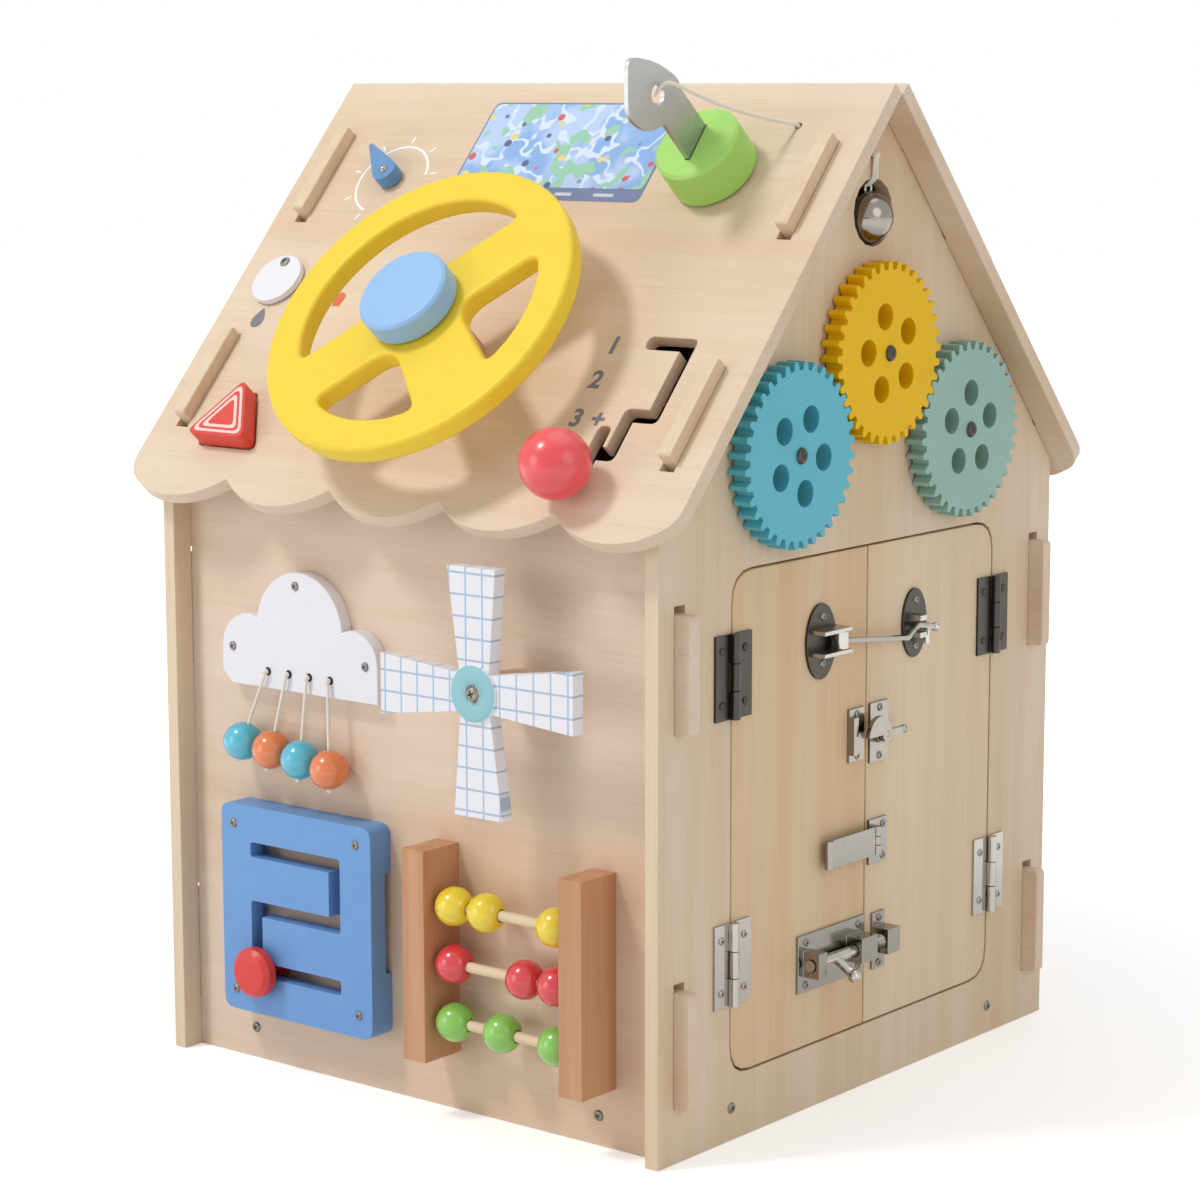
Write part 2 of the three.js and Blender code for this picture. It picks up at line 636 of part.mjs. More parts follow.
const clevisLow = HOOK_PLATE.z - CLEVIS.gap / 2;
const clevisHigh = HOOK_PLATE.z + CLEVIS.gap / 2;
const pinSpan = [
  [HOOK_PIN.y, clevisLow - CLEVIS.ear, HOOK_PIN.off],
  [HOOK_PIN.y, clevisHigh + CLEVIS.ear, HOOK_PIN.off],
];
const hookPivotPlate = join(
  ovalPlate(HOOK_PLATE),
  upright(CLEVIS.left, CLEVIS.right, clevisLow - CLEVIS.ear, clevisLow, CLEVIS.reach),
  upright(CLEVIS.left, CLEVIS.right, clevisHigh, clevisHigh + CLEVIS.ear, CLEVIS.reach),
  rod(...pinSpan, HOOK_PIN.radius),
);
piece(side, "hook_pivot_plate", hookPivotPlate, STEEL);
const hookZ = HOOK_PLATE.z;
const hookOff = HOOK_PIN.off;
const hookBends = HOOK_BENDS.map(([y, drop]) => [y, hookZ + drop, hookOff]);
const [hookStart, , hookCrest, hookNeck, hookEnd] = hookBends;
const hookTip = [hookNeck[0], hookNeck[1] - HOOK.prong, hookOff];
const hookRuns = hookBends.slice(1).map((end, i) => rod(hookBends[i], end, HOOK.rod, WIRE_STEPS));
const hookArm = cut(
  join(
    rod(
      [HOOK_PIN.y, hookZ - HOOK.eyeTall / 2, hookOff],
      [HOOK_PIN.y, hookZ + HOOK.eyeTall / 2, hookOff],
      HOOK.eye,
    ),
    ...hookRuns,
    rod(hookNeck, hookTip, HOOK.rod, WIRE_STEPS),
    ...hookBends.slice(1, -1).map((bend) => ball(...bend, HOOK.bend, WIRE_STEPS)),
    ball(...hookEnd, HOOK.ball, KNOB_STEPS),
  ),
  rod(
    [HOOK_PIN.y, hookStart[1] - HOOK.eyeTall, hookOff],
    [HOOK_PIN.y, hookStart[1] + HOOK.eyeTall, hookOff],
    HOOK_PIN.bore,
  ),
);
piece(side, "hook_arm", hookArm, STEEL);
const catchHigh = hookCrest[1] + HOOK.bend + CATCH.play;
const catchLow = hookNeck[1] - HOOK.rod - CATCH.play;
const hookCatchPlate = join(
  ovalPlate(CATCH_PLATE),
  upright(CATCH.left, CATCH.right, catchHigh, catchHigh + CATCH.lug, CATCH.reach),
  upright(CATCH.left, CATCH.right, catchLow - CATCH.lug, catchLow, CATCH.reach),
);
piece(side, "hook_catch_plate", hookCatchPlate, STEEL);

// Sash lock: a half-round cam with a lever, turning on the base's peg

function strap({ left, right, low, high, sheet }) {
  return extrude(box(left, right, low, high), sheet);
}

const sashKeeper = join(
  strap(SASH_KEEPER),
  upright(
    SASH_KEEPER.left,
    SASH_KEEPER.left + SASH_KEEPER.lug,
    SASH_KEEPER.low + SASH_KEEPER.lug,
    SASH_KEEPER.high - SASH_KEEPER.lug,
    SASH_KEEPER.rise,
  ),
);
piece(side, "sash_keeper", sashKeeper, STEEL);
const sashBase = join(
  strap(SASH_BASE),
  disc(SASH_CAM.y, SASH_CAM.z, SASH_BASE.boss, SASH_BASE.rise),
  disc(SASH_CAM.y, SASH_CAM.z, SASH_CAM.pin, SASH_CAM.off + SASH_CAM.sheet, 0, PIN_STEPS),
);
piece(side, "sash_base", sashBase, STEEL);
const halfDisc = new THREE.Shape();
halfDisc.absarc(SASH_CAM.halfY, 0, SASH_CAM.half, 0, Math.PI);
halfDisc.closePath();
const sashCam = cut(
  join(
    extrude(halfDisc, SASH_CAM.sheet, 0, 0, SHAFT_STEPS / 2),
    disc(0, 0, SASH_LEVER.hub, SASH_CAM.sheet, 0, PIN_STEPS),
    extrude(box(0, SASH_LEVER.reach, -SASH_LEVER.wide / 2, SASH_LEVER.wide / 2), SASH_CAM.sheet),
    ball(SASH_LEVER.reach, 0, SASH_CAM.sheet / 2, SASH_LEVER.ball, KNOB_STEPS),
  ),
  disc(0, 0, SASH_CAM.bore, SASH_CAM.sheet + 2 * OVERRUN, -OVERRUN, PIN_STEPS),
);
piece(side, "sash_cam", sashCam, STEEL, SASH_CAM.y, SASH_CAM.z, SASH_CAM.off);

// Flip latch: a plate that folds outward on an upright knuckle

const flipBand = (FLIP.high - FLIP.low) / 3;
const flipMiddle = [FLIP.low + flipBand, FLIP.high - flipBand];
const flipBar = (low, high, radius) =>
  rod([FLIP_AXIS.y, low, FLIP_AXIS.off], [FLIP_AXIS.y, high, FLIP_AXIS.off], radius);
const flipStem = (low, high) =>
  extrude(box(FLIP_AXIS.y - FLIP.knuckle, FLIP_AXIS.y + FLIP.knuckle, low, high), FLIP_AXIS.off);
const flipBase = join(
  strap(FLIP_BASE),
  flipStem(FLIP.low, flipMiddle[0]),
  flipStem(flipMiddle[1], FLIP.high),
  flipBar(FLIP.low, flipMiddle[0], FLIP.knuckle),
  flipBar(flipMiddle[1], FLIP.high, FLIP.knuckle),
  flipBar(FLIP.low, FLIP.high, FLIP.pin),
);
piece(side, "flip_base", flipBase, STEEL);
const flipLow = FLIP_AXIS.off - FLIP.sheet / 2;
const flipPlate = cut(
  join(
    extrude(box(FLIP.left, FLIP_AXIS.y - FLIP.knuckle - FIT, FLIP.low, FLIP.high), FLIP.sheet, flipLow),
    extrude(
      box(FLIP_AXIS.y - FLIP.knuckle - OVERRUN, FLIP_AXIS.y, flipMiddle[0] + FIT, flipMiddle[1] - FIT),
      FLIP.sheet,
      flipLow,
    ),
    flipBar(flipMiddle[0] + FIT, flipMiddle[1] - FIT, FLIP.knuckle),
    rod([FLIP.left, FLIP.low, FLIP_AXIS.off], [FLIP.left, FLIP.high, FLIP_AXIS.off], FLIP.curl),
  ),
  flipBar(FLIP.low - OVERRUN, FLIP.high + OVERRUN, FLIP.bore),
);
piece(side, "flip_plate", flipPlate, STEEL);

// Barrel bolt: two guides on the left door, a rod with a bent handle, a keeper on the right door

function guide(left, right) {
  const block = extrude(
    box(left, right, BOLT.z - BOLT_GUIDE.tall / 2, BOLT.z + BOLT_GUIDE.tall / 2),
    BOLT_GUIDE.reach,
  );
  return block;
}

const boltBore = rod(
  [BOLT_BASE.left - OVERRUN, BOLT.z, BOLT.off],
  [BOLT_KEEPER.right + OVERRUN, BOLT.z, BOLT.off],
  BOLT.bore,
  BOSS_STEPS,
);
const boltBase = cut(
  join(
    strap(BOLT_BASE),
    guide(BOLT_GUIDE.left, BOLT_GUIDE.left + BOLT_GUIDE.wide / 2),
    guide(BOLT_GUIDE.second, BOLT_GUIDE.second + BOLT_GUIDE.wide),
  ),
  boltBore,
);
piece(side, "bolt_base", boltBase, STEEL);
const knobEnd = [BOLT_KNOB.y, BOLT.z - BOLT_KNOB.down, BOLT.off + BOLT_KNOB.out];
const boltRod = join(
  rod([BOLT.tail, BOLT.z, BOLT.off], [BOLT.tip, BOLT.z, BOLT.off], BOLT.radius, BOSS_STEPS),
  rod([BOLT_KNOB.y, BOLT.z, BOLT.off], knobEnd, BOLT_KNOB.radius, KNOB_STEPS),
  ball(...knobEnd, BOLT_KNOB.ball, KNOB_STEPS),
);
piece(side, "bolt_rod", boltRod, STEEL);
const boltKeeper = cut(join(strap(BOLT_KEEPER), guide(BOLT_KEEPER.left, BOLT_KEEPER.right)), boltBore);
piece(side, "bolt_keeper", boltKeeper, STEEL);

// Gears: involute teeth whose size follows from the spacing of the pegs

const gearSpacing = Math.hypot(GEAR.across, GEAR.highZ - GEAR.lowZ);
const toothPitch = TAU / GEAR_TEETH;

function gearOutline(phase) {
  const pitch = gearSpacing / 2;
  const unit = gearSpacing / GEAR_TEETH;
  const pressure = THREE.MathUtils.degToRad(PRESSURE_DEG);
  const base = pitch * Math.cos(pressure);
  const outer = pitch + ADDENDUM_SHARE * unit;
  const root = pitch - DEDENDUM_SHARE * unit;
  const involute = (angle) => Math.tan(angle) - angle;
  const halfAt = (radius) => {
    const angle = Math.acos(Math.min(1, base / radius));
    const play = (BACKLASH_SHARE * unit) / pitch;
    return toothPitch / 4 - play / 2 + involute(pressure) - involute(angle);
  };
  const radii = [root, pitch, outer];
  const points = [];
  for (let i = 0; i < GEAR_TEETH; i++) {
    const middle = phase + i * toothPitch;
    for (const radius of radii) points.push([radius, middle - halfAt(radius)]);
    for (const radius of radii.slice().reverse()) points.push([radius, middle + halfAt(radius)]);
  }
  return path(points.map(([radius, angle]) => [radius * Math.cos(angle), radius * Math.sin(angle)]));
}

function gearBody(phase, holesTurn) {
  const holes = [];
  for (let i = 0; i < GEAR_HOLES.count; i++) {
    const angle = holesTurn + (i * TAU) / GEAR_HOLES.count + TAU / 4;
    holes.push(ring(GEAR_HOLES.ring * Math.cos(angle), GEAR_HOLES.ring * Math.sin(angle), GEAR_HOLES.radius));
  }
  const bore = disc(0, 0, GEAR.bore, GEAR.thick + 2 * OVERRUN, GEAR.play - OVERRUN, SHAFT_STEPS);
  return cut(punched(extrude(gearOutline(phase), GEAR.thick, GEAR.play), holes, GEAR.thick, GEAR.play), bore);
}

// A follower shows a gap where the first gear shows a tooth on the line of their centres
const firstPhase = THREE.MathUtils.degToRad(YELLOW_PHASE_DEG);
const yellowHoles = THREE.MathUtils.degToRad(YELLOW_HOLES_DEG);
const cyanHoles = THREE.MathUtils.degToRad(CYAN_HOLES_DEG);
const holeTurns = [yellowHoles, cyanHoles, 0];
gearPlaces.forEach(({ name, y, z, material }, i) => {
  const line = Math.atan2(z - GEAR.highZ, y);
  const phase = i === 0 ? firstPhase : line + Math.PI - (firstPhase - line) + toothPitch / 2;
  piece(side, name, gearBody(phase, holeTurns[i]), material, y, z, 0);
});

// Bell on a doubled cord, hanging from the small hole's mouth

const bellTop = BELL.z + BELL.radius;
const strandTop = [CORD_HOLE.y, CORD_HOLE.z, BELL_CORD.off];
const lipZ = BELL_HOLE.z + BELL_HOLE.radius;
const strand = (turn) => {
  const high = [strandTop[0] + turn * BELL_CORD.radius, strandTop[1], strandTop[2]];
  const lip = [CORD_HOLE.y + turn * BELL_CORD.spread, lipZ, BELL_CORD.lip];
  const low = [CORD_HOLE.y + turn * BELL_CORD.spread, bellTop + BELL.eye / 2, BELL.off];
  return join(
    rod(high, lip, BELL_CORD.radius, WIRE_STEPS),
    ball(...lip, BELL_CORD.radius, WIRE_STEPS),
    rod(lip, low, BELL_CORD.radius, WIRE_STEPS),
  );
};
const eyeRing = new THREE.TorusGeometry(BELL.eye, BELL.eyeWire, WIRE_STEPS, KNOB_STEPS);
const eye = solid(eyeRing.translate(CORD_HOLE.y, bellTop + BELL.eyeWire, BELL.off));
const slotTool = extrude(
  box(
    CORD_HOLE.y - BELL.radius - OVERRUN,
    CORD_HOLE.y + BELL.radius + OVERRUN,
    BELL.z - BELL.radius - OVERRUN,
    BELL.z - BELL.radius + BELL.slotDeep,
  ),
  BELL.slot,
  BELL.off - BELL.slot / 2,
);
const bell = join(
  cut(ball(CORD_HOLE.y, BELL.z, BELL.off, BELL.radius), slotTool),
  eye,
  strand(-1),
  strand(1),
  ball(...strandTop, BELL_CORD.knot, WIRE_STEPS),
);
piece(side, "bell", bell, STEEL);

// Steering wheel: a bar across and one spoke down from it

const wheelBack = WHEEL.face - WHEEL.thick;

function wheelOpenings() {
  const onRim = (from, to, count) => {
    const points = [];
    for (let i = 0; i <= count; i++) {
      const angle = from + ((to - from) * i) / count;
      points.push([WHEEL.inner * Math.cos(angle), WHEEL.inner * Math.sin(angle)]);
    }
    return points;
  };
  const barAngle = Math.asin(WHEEL.bar / WHEEL.inner);
  const crescent = onRim(barAngle, Math.PI - barAngle, 2 * WIRE_STEPS);
  const spokeEnd = WHEEL.spoke + WHEEL_DETAIL.flare;
  const spokeAngle = Math.acos(spokeEnd / WHEEL.inner);
  const lower = onRim(-spokeAngle, -barAngle, WIRE_STEPS);
  const corner = Math.sqrt(WHEEL_DETAIL.hub ** 2 - WHEEL.bar ** 2);
  const side1 = [...lower, [corner, -WHEEL.bar], [WHEEL.spoke, -Math.sqrt(WHEEL_DETAIL.hub ** 2 - WHEEL.spoke ** 2)]];
  const side2 = side1.map(([x, y]) => [-x, y]);
  const fillets = (points, sharp) => points.map((_, i) => (sharp.includes(i) ? WHEEL_DETAIL.fillet : 0));
  const n = lower.length;
  return [
    rounded(crescent, fillets(crescent, [0, crescent.length - 1]), THREE.Path),
    rounded(side1, fillets(side1, [0, n - 1, n, n + 1]), THREE.Path),
    rounded(side2, fillets(side2, [0, n - 1, n, n + 1]), THREE.Path),
  ];
}

const wheelRim = ring(0, 0, WHEEL.radius);
wheelRim.holes.push(...wheelOpenings());
const wheelBore = disc(0, 0, WHEEL_DETAIL.bore, WHEEL.thick + 2 * OVERRUN, -OVERRUN, SHAFT_STEPS);
const wheelBody = cut(extrude(wheelRim, WHEEL.thick, 0, WHEEL_DETAIL.edge, WIDE_STEPS / 2), wheelBore);
const wheelMesh = piece(onRoof, "steering_wheel", wheelBody, YELLOW, WHEEL.x, -WHEEL.down, wheelBack - FIT);
wheelMesh.rotation.z = THREE.MathUtils.degToRad(WHEEL_TURN_DEG);
const capBody = disc(0, 0, WHEEL_CAP.radius, WHEEL_CAP.thick - FIT, 0, WIDE_STEPS, WHEEL_CAP.edge);
piece(onRoof, "wheel_cap", capBody, SKY, WHEEL.x, -WHEEL.down, WHEEL.face);
const postBody = join(
  disc(0, 0, WHEEL_POST.radius, wheelBack - FIT - WHEEL_DETAIL.play, 0, DISC_STEPS),
  disc(0, 0, WHEEL_DETAIL.shaft, WHEEL.face - FIT - WHEEL_DETAIL.play, 0, SHAFT_STEPS),
);
piece(onRoof, "wheel_post", postBody, BEECH, WHEEL.x, -WHEEL.down, 0);

// Gear shift: ball over the roof, stem through the slot, washer below

const shiftBody = join(
  ball(0, 0, SHIFT.height, SHIFT.ball, BOSS_STEPS),
  rod([0, 0, -PLY - SHIFT.washerThick - SHIFT.nut], [0, 0, SHIFT.height], SHIFT.stem),
  disc(0, 0, SHIFT.washer, SHIFT.washerThick, -PLY - 2 * FIT - SHIFT.washerThick),
);
piece(onRoof, "shift_lever", shiftBody, RED, GATE_STRAIGHT.x, -fromRidge(SHIFT.up), 0);

// Lock that turns on a bolt through the roof, with its key in a slot, and the key's cord

const lockFrame = frame(onRoof, LOCK.x, -LOCK.down, 0);
lockFrame.rotation.z = THREE.MathUtils.degToRad(KEY_TURN_DEG);
const slotLong = KEY.shank / 2 + LOCK.slotPlay;
const slotWide = KEY.sheet / 2 + LOCK.slotPlay;
const keySlot = extrude(
  box(-slotLong, slotLong, -slotWide, slotWide),
  LOCK.slotDeep + OVERRUN,
  LOCK.height - LOCK.slotDeep,
);
const boltEnd = -PLY - 2 * FIT - LOCK_BOLT.headThick;
const lockBody = join(
  cut(disc(0, 0, LOCK.radius, LOCK.height, 0, WIDE_STEPS, LOCK.edge), keySlot),
  disc(0, 0, LOCK_BOLT.radius, OVERRUN - boltEnd, boltEnd, PIN_STEPS),
  disc(0, 0, LOCK_BOLT.head, LOCK_BOLT.headThick, boltEnd, LOCK_BOLT.sides),
);
piece(lockFrame, "lock_barrel", lockBody, GREEN);
const keyOutline = rounded(
  [
    [-KEY.shank / 2, KEY.root],
    [KEY.shank / 2, KEY.root],
    [KEY.shank / 2, KEY.neck],
    [KEY_BOW.right, KEY.low],
    [KEY_BOW.right - KEY_BOW.lean, KEY.side],
    [KEY_BOW.peak, KEY.top],
    [KEY_BOW.left, KEY.side],
    [KEY_BOW.left + KEY_BOW.lean, KEY.low],
    [-KEY.shank / 2, KEY.neck],
  ],
  [0, 0, 0, KEY.corner, KEY.corner, KEY.corner, KEY.corner, KEY.corner, 0],
);
keyOutline.holes.push(ring(KEY_BOW.holeX, KEY_BOW.holeAt, KEY_BOW.hole, THREE.Path));
const keyBody = extrude(keyOutline, KEY.sheet, -KEY.sheet / 2);
const keyMesh = piece(lockFrame, "key", keyBody, STEEL, 0, 0, LOCK.height);
keyMesh.rotation.x = Math.PI / 2;

function cordBody(route, radius, steps) {
  const curve = new THREE.CatmullRomCurve3(route.map((p) => new THREE.Vector3(...p)));
  const section = new THREE.Shape();
  for (let i = 0; i < WIRE_STEPS; i++) {
    const angle = (i * TAU) / WIRE_STEPS;
    const x = radius * Math.cos(angle);
    const y = radius * Math.sin(angle);
    if (i === 0) section.moveTo(x, y);
    else section.lineTo(x, y);
  }
  section.closePath();
  return solid(new THREE.ExtrudeGeometry(section, { steps, extrudePath: curve, bevelEnabled: false }));
}

piece(roof, "key_cord", cordBody(CORD_ROUTE, CORD_RADIUS, CORD_STEPS), CORD);

// Small pieces on the roof

const hazardBody = extrude(hazardShape(0), HAZARD.thick);
piece(roof, "hazard_button", hazardBody, RED, 0, 0, PLY - FIT);
const pointerShape = new THREE.Shape();
const taper = Math.acos((DIAL.radius - DIAL.tipRadius) / DIAL.tip);
pointerShape.absarc(0, 0, DIAL.radius, taper, TAU - taper);
pointerShape.absarc(DIAL.tip - DIAL.tipRadius, 0, DIAL.tipRadius, -taper, taper);
pointerShape.closePath();
pointerShape.holes.push(ring(0, 0, DIAL.bore, THREE.Path));
const pointer = piece(onRoof, "dial_pointer", extrude(pointerShape, DIAL.thick, DIAL.gap), BLUE);
pointer.position.set(DIAL.x, -DIAL.down, 0);
pointer.rotation.z = THREE.MathUtils.degToRad(DIAL_REST_DEG);
const coverBody = cut(
  disc(0, -COVER.hang, COVER.radius, COVER.thick, COVER.gap, DISC_STEPS),
  disc(0, 0, COVER.bore, COVER.thick + 2 * OVERRUN, COVER.gap - OVERRUN, PIN_STEPS),
);
piece(onRoof, "swing_cover", coverBody, WHITE, COVER.x, -COVER.down, 0);

// Cloud and its pendants

const lobeZ = CLOUD.low + CLOUD_LOBES.rise;
const cloudFoot = path([
  [CLOUD.left + CLOUD.foot, CLOUD.low],
  [CLOUD.right, CLOUD.low],
  [CLOUD.right, lobeZ],
  [CLOUD.left, lobeZ],
  [CLOUD.left, CLOUD.low + CLOUD.foot],
]);
const cloudBody = join(
  disc(CLOUD.left + CLOUD_LOBES.left, lobeZ, CLOUD_LOBES.left, PLY, 0, DISC_STEPS),
  disc(CLOUD.right - CLOUD_LOBES.right, lobeZ, CLOUD_LOBES.right, PLY, 0, DISC_STEPS),
  disc(CLOUD.topX, CLOUD.topZ, CLOUD.top, PLY, 0, WIDE_STEPS),
  extrude(cloudFoot, PLY),
);
piece(front, "cloud_panel", cloudBody, WHITE);
STRING_X.forEach((x, i) => {
  const beadX = PENDANT_X[i];
  const beadZ = PENDANT_Z[i];
  const start = [x, STRING.z, PLY + FIT + STRING.knot];
  const body = join(
    ball(...start, STRING.knot, WIRE_STEPS),
    rod(start, [beadX, beadZ, PENDANT.off], STRING.radius, WIRE_STEPS),
    ball(beadX, beadZ, PENDANT.off, PENDANT.radius),
  );
  piece(front, "pendant_" + (i + 1), body, i % 2 === 0 ? TURQUOISE : ORANGE);
});

// Windmill sails: four blades that widen outward, more on the leading edge

function bladeShape(turn) {
  const c = Math.cos(turn);
  const s = Math.sin(turn);
  const corners = [
    [0, MILL.root],
    [MILL.radius, MILL.lead],
    [MILL.radius, -MILL.trail],
    [0, -MILL.root],
  ];
  return path(corners.map(([x, y]) => [x * c - y * s, x * s + y * c]));
}

const blades = [0, 1, 2, 3].map((i) => extrude(bladeShape((i * TAU) / 4), MILL.thick));
const sailsBody = cut(
  join(...blades, disc(0, 0, MILL_HUB.radius, MILL.thick + MILL_HUB.thick, 0, DISC_STEPS)),
  disc(0, 0, MILL_HUB.bore, MILL.thick + MILL_HUB.thick + 2 * OVERRUN, -OVERRUN, SHAFT_STEPS),
);
piece(front, "windmill_sails", sailsBody, WHITE, MILL.x, MILL.z, millBack);

// Maze: a block with a T-shaped track, and the knob that runs in it

function track(half, depth, from) {
  const bar = (x0, x1, z0, z1) =>
    extrude(box(x0 - half, x1 + half, z0 - half, z1 + half, half / 2), depth, from);
  const { left, right, low, middle, high } = MAZE_PATH;
  return join(
    bar(left, right, high, high),
    bar(right, right, middle, high),
    bar(left, right, middle, middle),
    bar(left, left, low, middle),
    bar(left, right, low, low),
  );
}

const mazeBlock = extrude(box(MAZE.left, MAZE.right, MAZE.low, MAZE.high, MAZE.corner), MAZE.thick);
const mazeMouth = box(MAZE.right - MAZE_MOUTH.inward, MAZE.right + OVERRUN, MAZE_MOUTH.low, MAZE_MOUTH.high);
const mazeBody = cut(
  mazeBlock,
  track(MAZE.slot / 2, MAZE.thick + 2 * OVERRUN, -OVERRUN),
  track(MAZE.track / 2, MAZE_PATH.trackDeep + OVERRUN, -OVERRUN),
  extrude(mazeMouth, MAZE_MOUTH.deep + OVERRUN, -OVERRUN),
);
piece(front, "maze_panel", mazeBody, BLUE);
const knobHead = MAZE.thick + MAZE_KNOB.play;
const knobBody = join(
  disc(0, 0, MAZE_KNOB.foot, MAZE_KNOB.footThick, MAZE_KNOB.play),
  disc(0, 0, MAZE_KNOB.stem, MAZE.thick + OVERRUN, MAZE_KNOB.play, PIN_STEPS),
  disc(0, 0, MAZE_KNOB.head, MAZE_KNOB.headThick, knobHead, DISC_STEPS, MAZE_KNOB.edge),
);
piece(front, "maze_knob", knobBody, RED, MAZE_PATH.left + MAZE_KNOB.start, MAZE_PATH.low, 0);

// Abacus

const abacusPost = (left) => extrude(box(left, left + ABACUS.post, ABACUS.low, ABACUS.high), ABACUS.deep);
const abacusBody = join(
  abacusPost(ABACUS.left),
  abacusPost(ABACUS.right - ABACUS.post),
  ...ROD_Z.map((z) =>
    rod(
      [ABACUS.left + ABACUS.post / 2, z, ABACUS.rodOff],
      [ABACUS.right - ABACUS.post / 2, z, ABACUS.rodOff],
      ABACUS.rod,
    ),
  ),
);
piece(front, "abacus_frame", abacusBody, BEECH);
const beadProfile = [];
const beadEnd = Math.asin(BEAD.bore / BEAD.radius);
for (let i = 0; i <= BEAD.steps; i++) {
  const angle = beadEnd + ((Math.PI - 2 * beadEnd) * i) / BEAD.steps;
  beadProfile.push([BEAD.radius * Math.sin(angle), -BEAD.radius * Math.cos(angle)]);
}
beadProfile.push(beadProfile[0]);
const beadColors = [YELLOW, RED, GREEN];
const beadNames = ["yellow", "red", "green"];
BEAD_X.forEach((row, i) => {
  row.forEach((x, k) => {
    const bead = piece(front, "bead_" + beadNames[i] + "_" + (k + 1), turned(beadProfile, BALL_STEPS), beadColors[i]);
    bead.position.set(x, ROD_Z[i], ABACUS.rodOff);
    bead.rotation.y = Math.PI / 2;
  });
});

// The origin lies under the middle of the whole part
house.updateMatrixWorld(true);
const bounds = new THREE.Box3().setFromObject(house, true);
house.position.set(-(bounds.min.x + bounds.max.x) / 2, -(bounds.min.y + bounds.max.y) / 2, -bounds.min.z);

export default house;
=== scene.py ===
import bpy
import bmesh
import itertools
import json
import math
import numpy as np
from mathutils import Matrix, Vector


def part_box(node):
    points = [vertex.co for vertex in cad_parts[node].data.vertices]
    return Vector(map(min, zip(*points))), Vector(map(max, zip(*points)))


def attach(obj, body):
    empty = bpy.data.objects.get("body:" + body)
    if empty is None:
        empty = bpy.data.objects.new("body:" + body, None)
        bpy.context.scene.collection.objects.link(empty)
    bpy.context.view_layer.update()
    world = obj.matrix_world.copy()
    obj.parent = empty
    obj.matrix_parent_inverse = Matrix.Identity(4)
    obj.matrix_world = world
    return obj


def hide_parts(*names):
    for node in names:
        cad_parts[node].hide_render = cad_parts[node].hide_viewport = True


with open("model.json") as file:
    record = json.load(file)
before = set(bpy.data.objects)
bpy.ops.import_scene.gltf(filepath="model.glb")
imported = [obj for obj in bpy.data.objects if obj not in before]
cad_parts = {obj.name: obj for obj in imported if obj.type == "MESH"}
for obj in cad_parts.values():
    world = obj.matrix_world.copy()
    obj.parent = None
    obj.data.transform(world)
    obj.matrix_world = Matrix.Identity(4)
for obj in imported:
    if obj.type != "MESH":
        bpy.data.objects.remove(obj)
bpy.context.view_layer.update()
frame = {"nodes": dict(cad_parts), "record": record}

# Measures in millimetres, and the roof's pitch in degrees
PLY = 7.0  # a board's thickness
RIDGE = 462.4  # the ridge's height, under the roof
FACE = 150.0  # a gable's outer face from the middle
WALL = 147.0  # a wall's outer face from the middle
PITCH = 48.5
PRINT = 0.12  # a print's thickness
WINDMILL = (64.6, 204.5)  # its axle on the front wall
low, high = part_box("gable_left")
MIDDLE = Vector((low.x * 1000 + FACE, (low.y + high.y) * 500, 0.0))

# Sides of the house: each place holds a side's own x and y, and z outward from its face
MILLI = Matrix.Scale(0.001, 4)
BASE = Matrix.Translation(MIDDLE)
HALF_TURN = Matrix.Rotation(math.pi, 4, "Z")
UPRIGHT = Matrix.Rotation(math.pi / 2, 4, "X")
SIDEWAYS = Matrix(((0, 0, 1, 0), (1, 0, 0, 0), (0, 1, 0, 0), (0, 0, 0, 1)))
GABLE = Matrix.Translation((FACE, 0, 0)) @ SIDEWAYS
SIDE = BASE @ GABLE
FAR = BASE @ HALF_TURN @ GABLE
FRONT = BASE @ Matrix.Translation((0, -WALL, 0)) @ UPRIGHT
BACK = BASE @ HALF_TURN @ Matrix.Translation((0, -WALL, 0)) @ UPRIGHT
UNDER = BASE @ Matrix.Translation((0, 0, RIDGE)) @ Matrix.Rotation(math.radians(PITCH), 4, "X")
ROOF = UNDER @ Matrix.Translation((0, 0, PLY))


class Sock:
    """A shader socket or a number that adds, subtracts, multiplies and divides."""

    def __init__(self, net, value):
        self.net, self.value = net, value

    def math(self, operation, *others):
        """This socket and the others through one operation."""
        return self.net.node("Math", dict(enumerate([self, *others])), operation=operation)

    def __add__(self, other):
        return self.math("ADD", other)

    def __mul__(self, other):
        return self.math("MULTIPLY", other)

    def __sub__(self, other):
        return self.math("SUBTRACT", other)

    def __truediv__(self, other):
        return self.math("DIVIDE", other)

    def __rsub__(self, other):
        return Sock(self.net, other).math("SUBTRACT", self)

    __radd__ = __add__
    __rmul__ = __mul__

    def abs(self):
        return self.math("ABSOLUTE")

    def most(self, other):
        """The larger of the two."""
        return self.math("MAXIMUM", other)

    def step(self, a, b):
        """0 below a, 1 above b, smooth between."""
        ends = {"Value": self, "From Min": a, "From Max": b}
        return self.net.node("MapRange", ends, interpolation_type="SMOOTHSTEP")


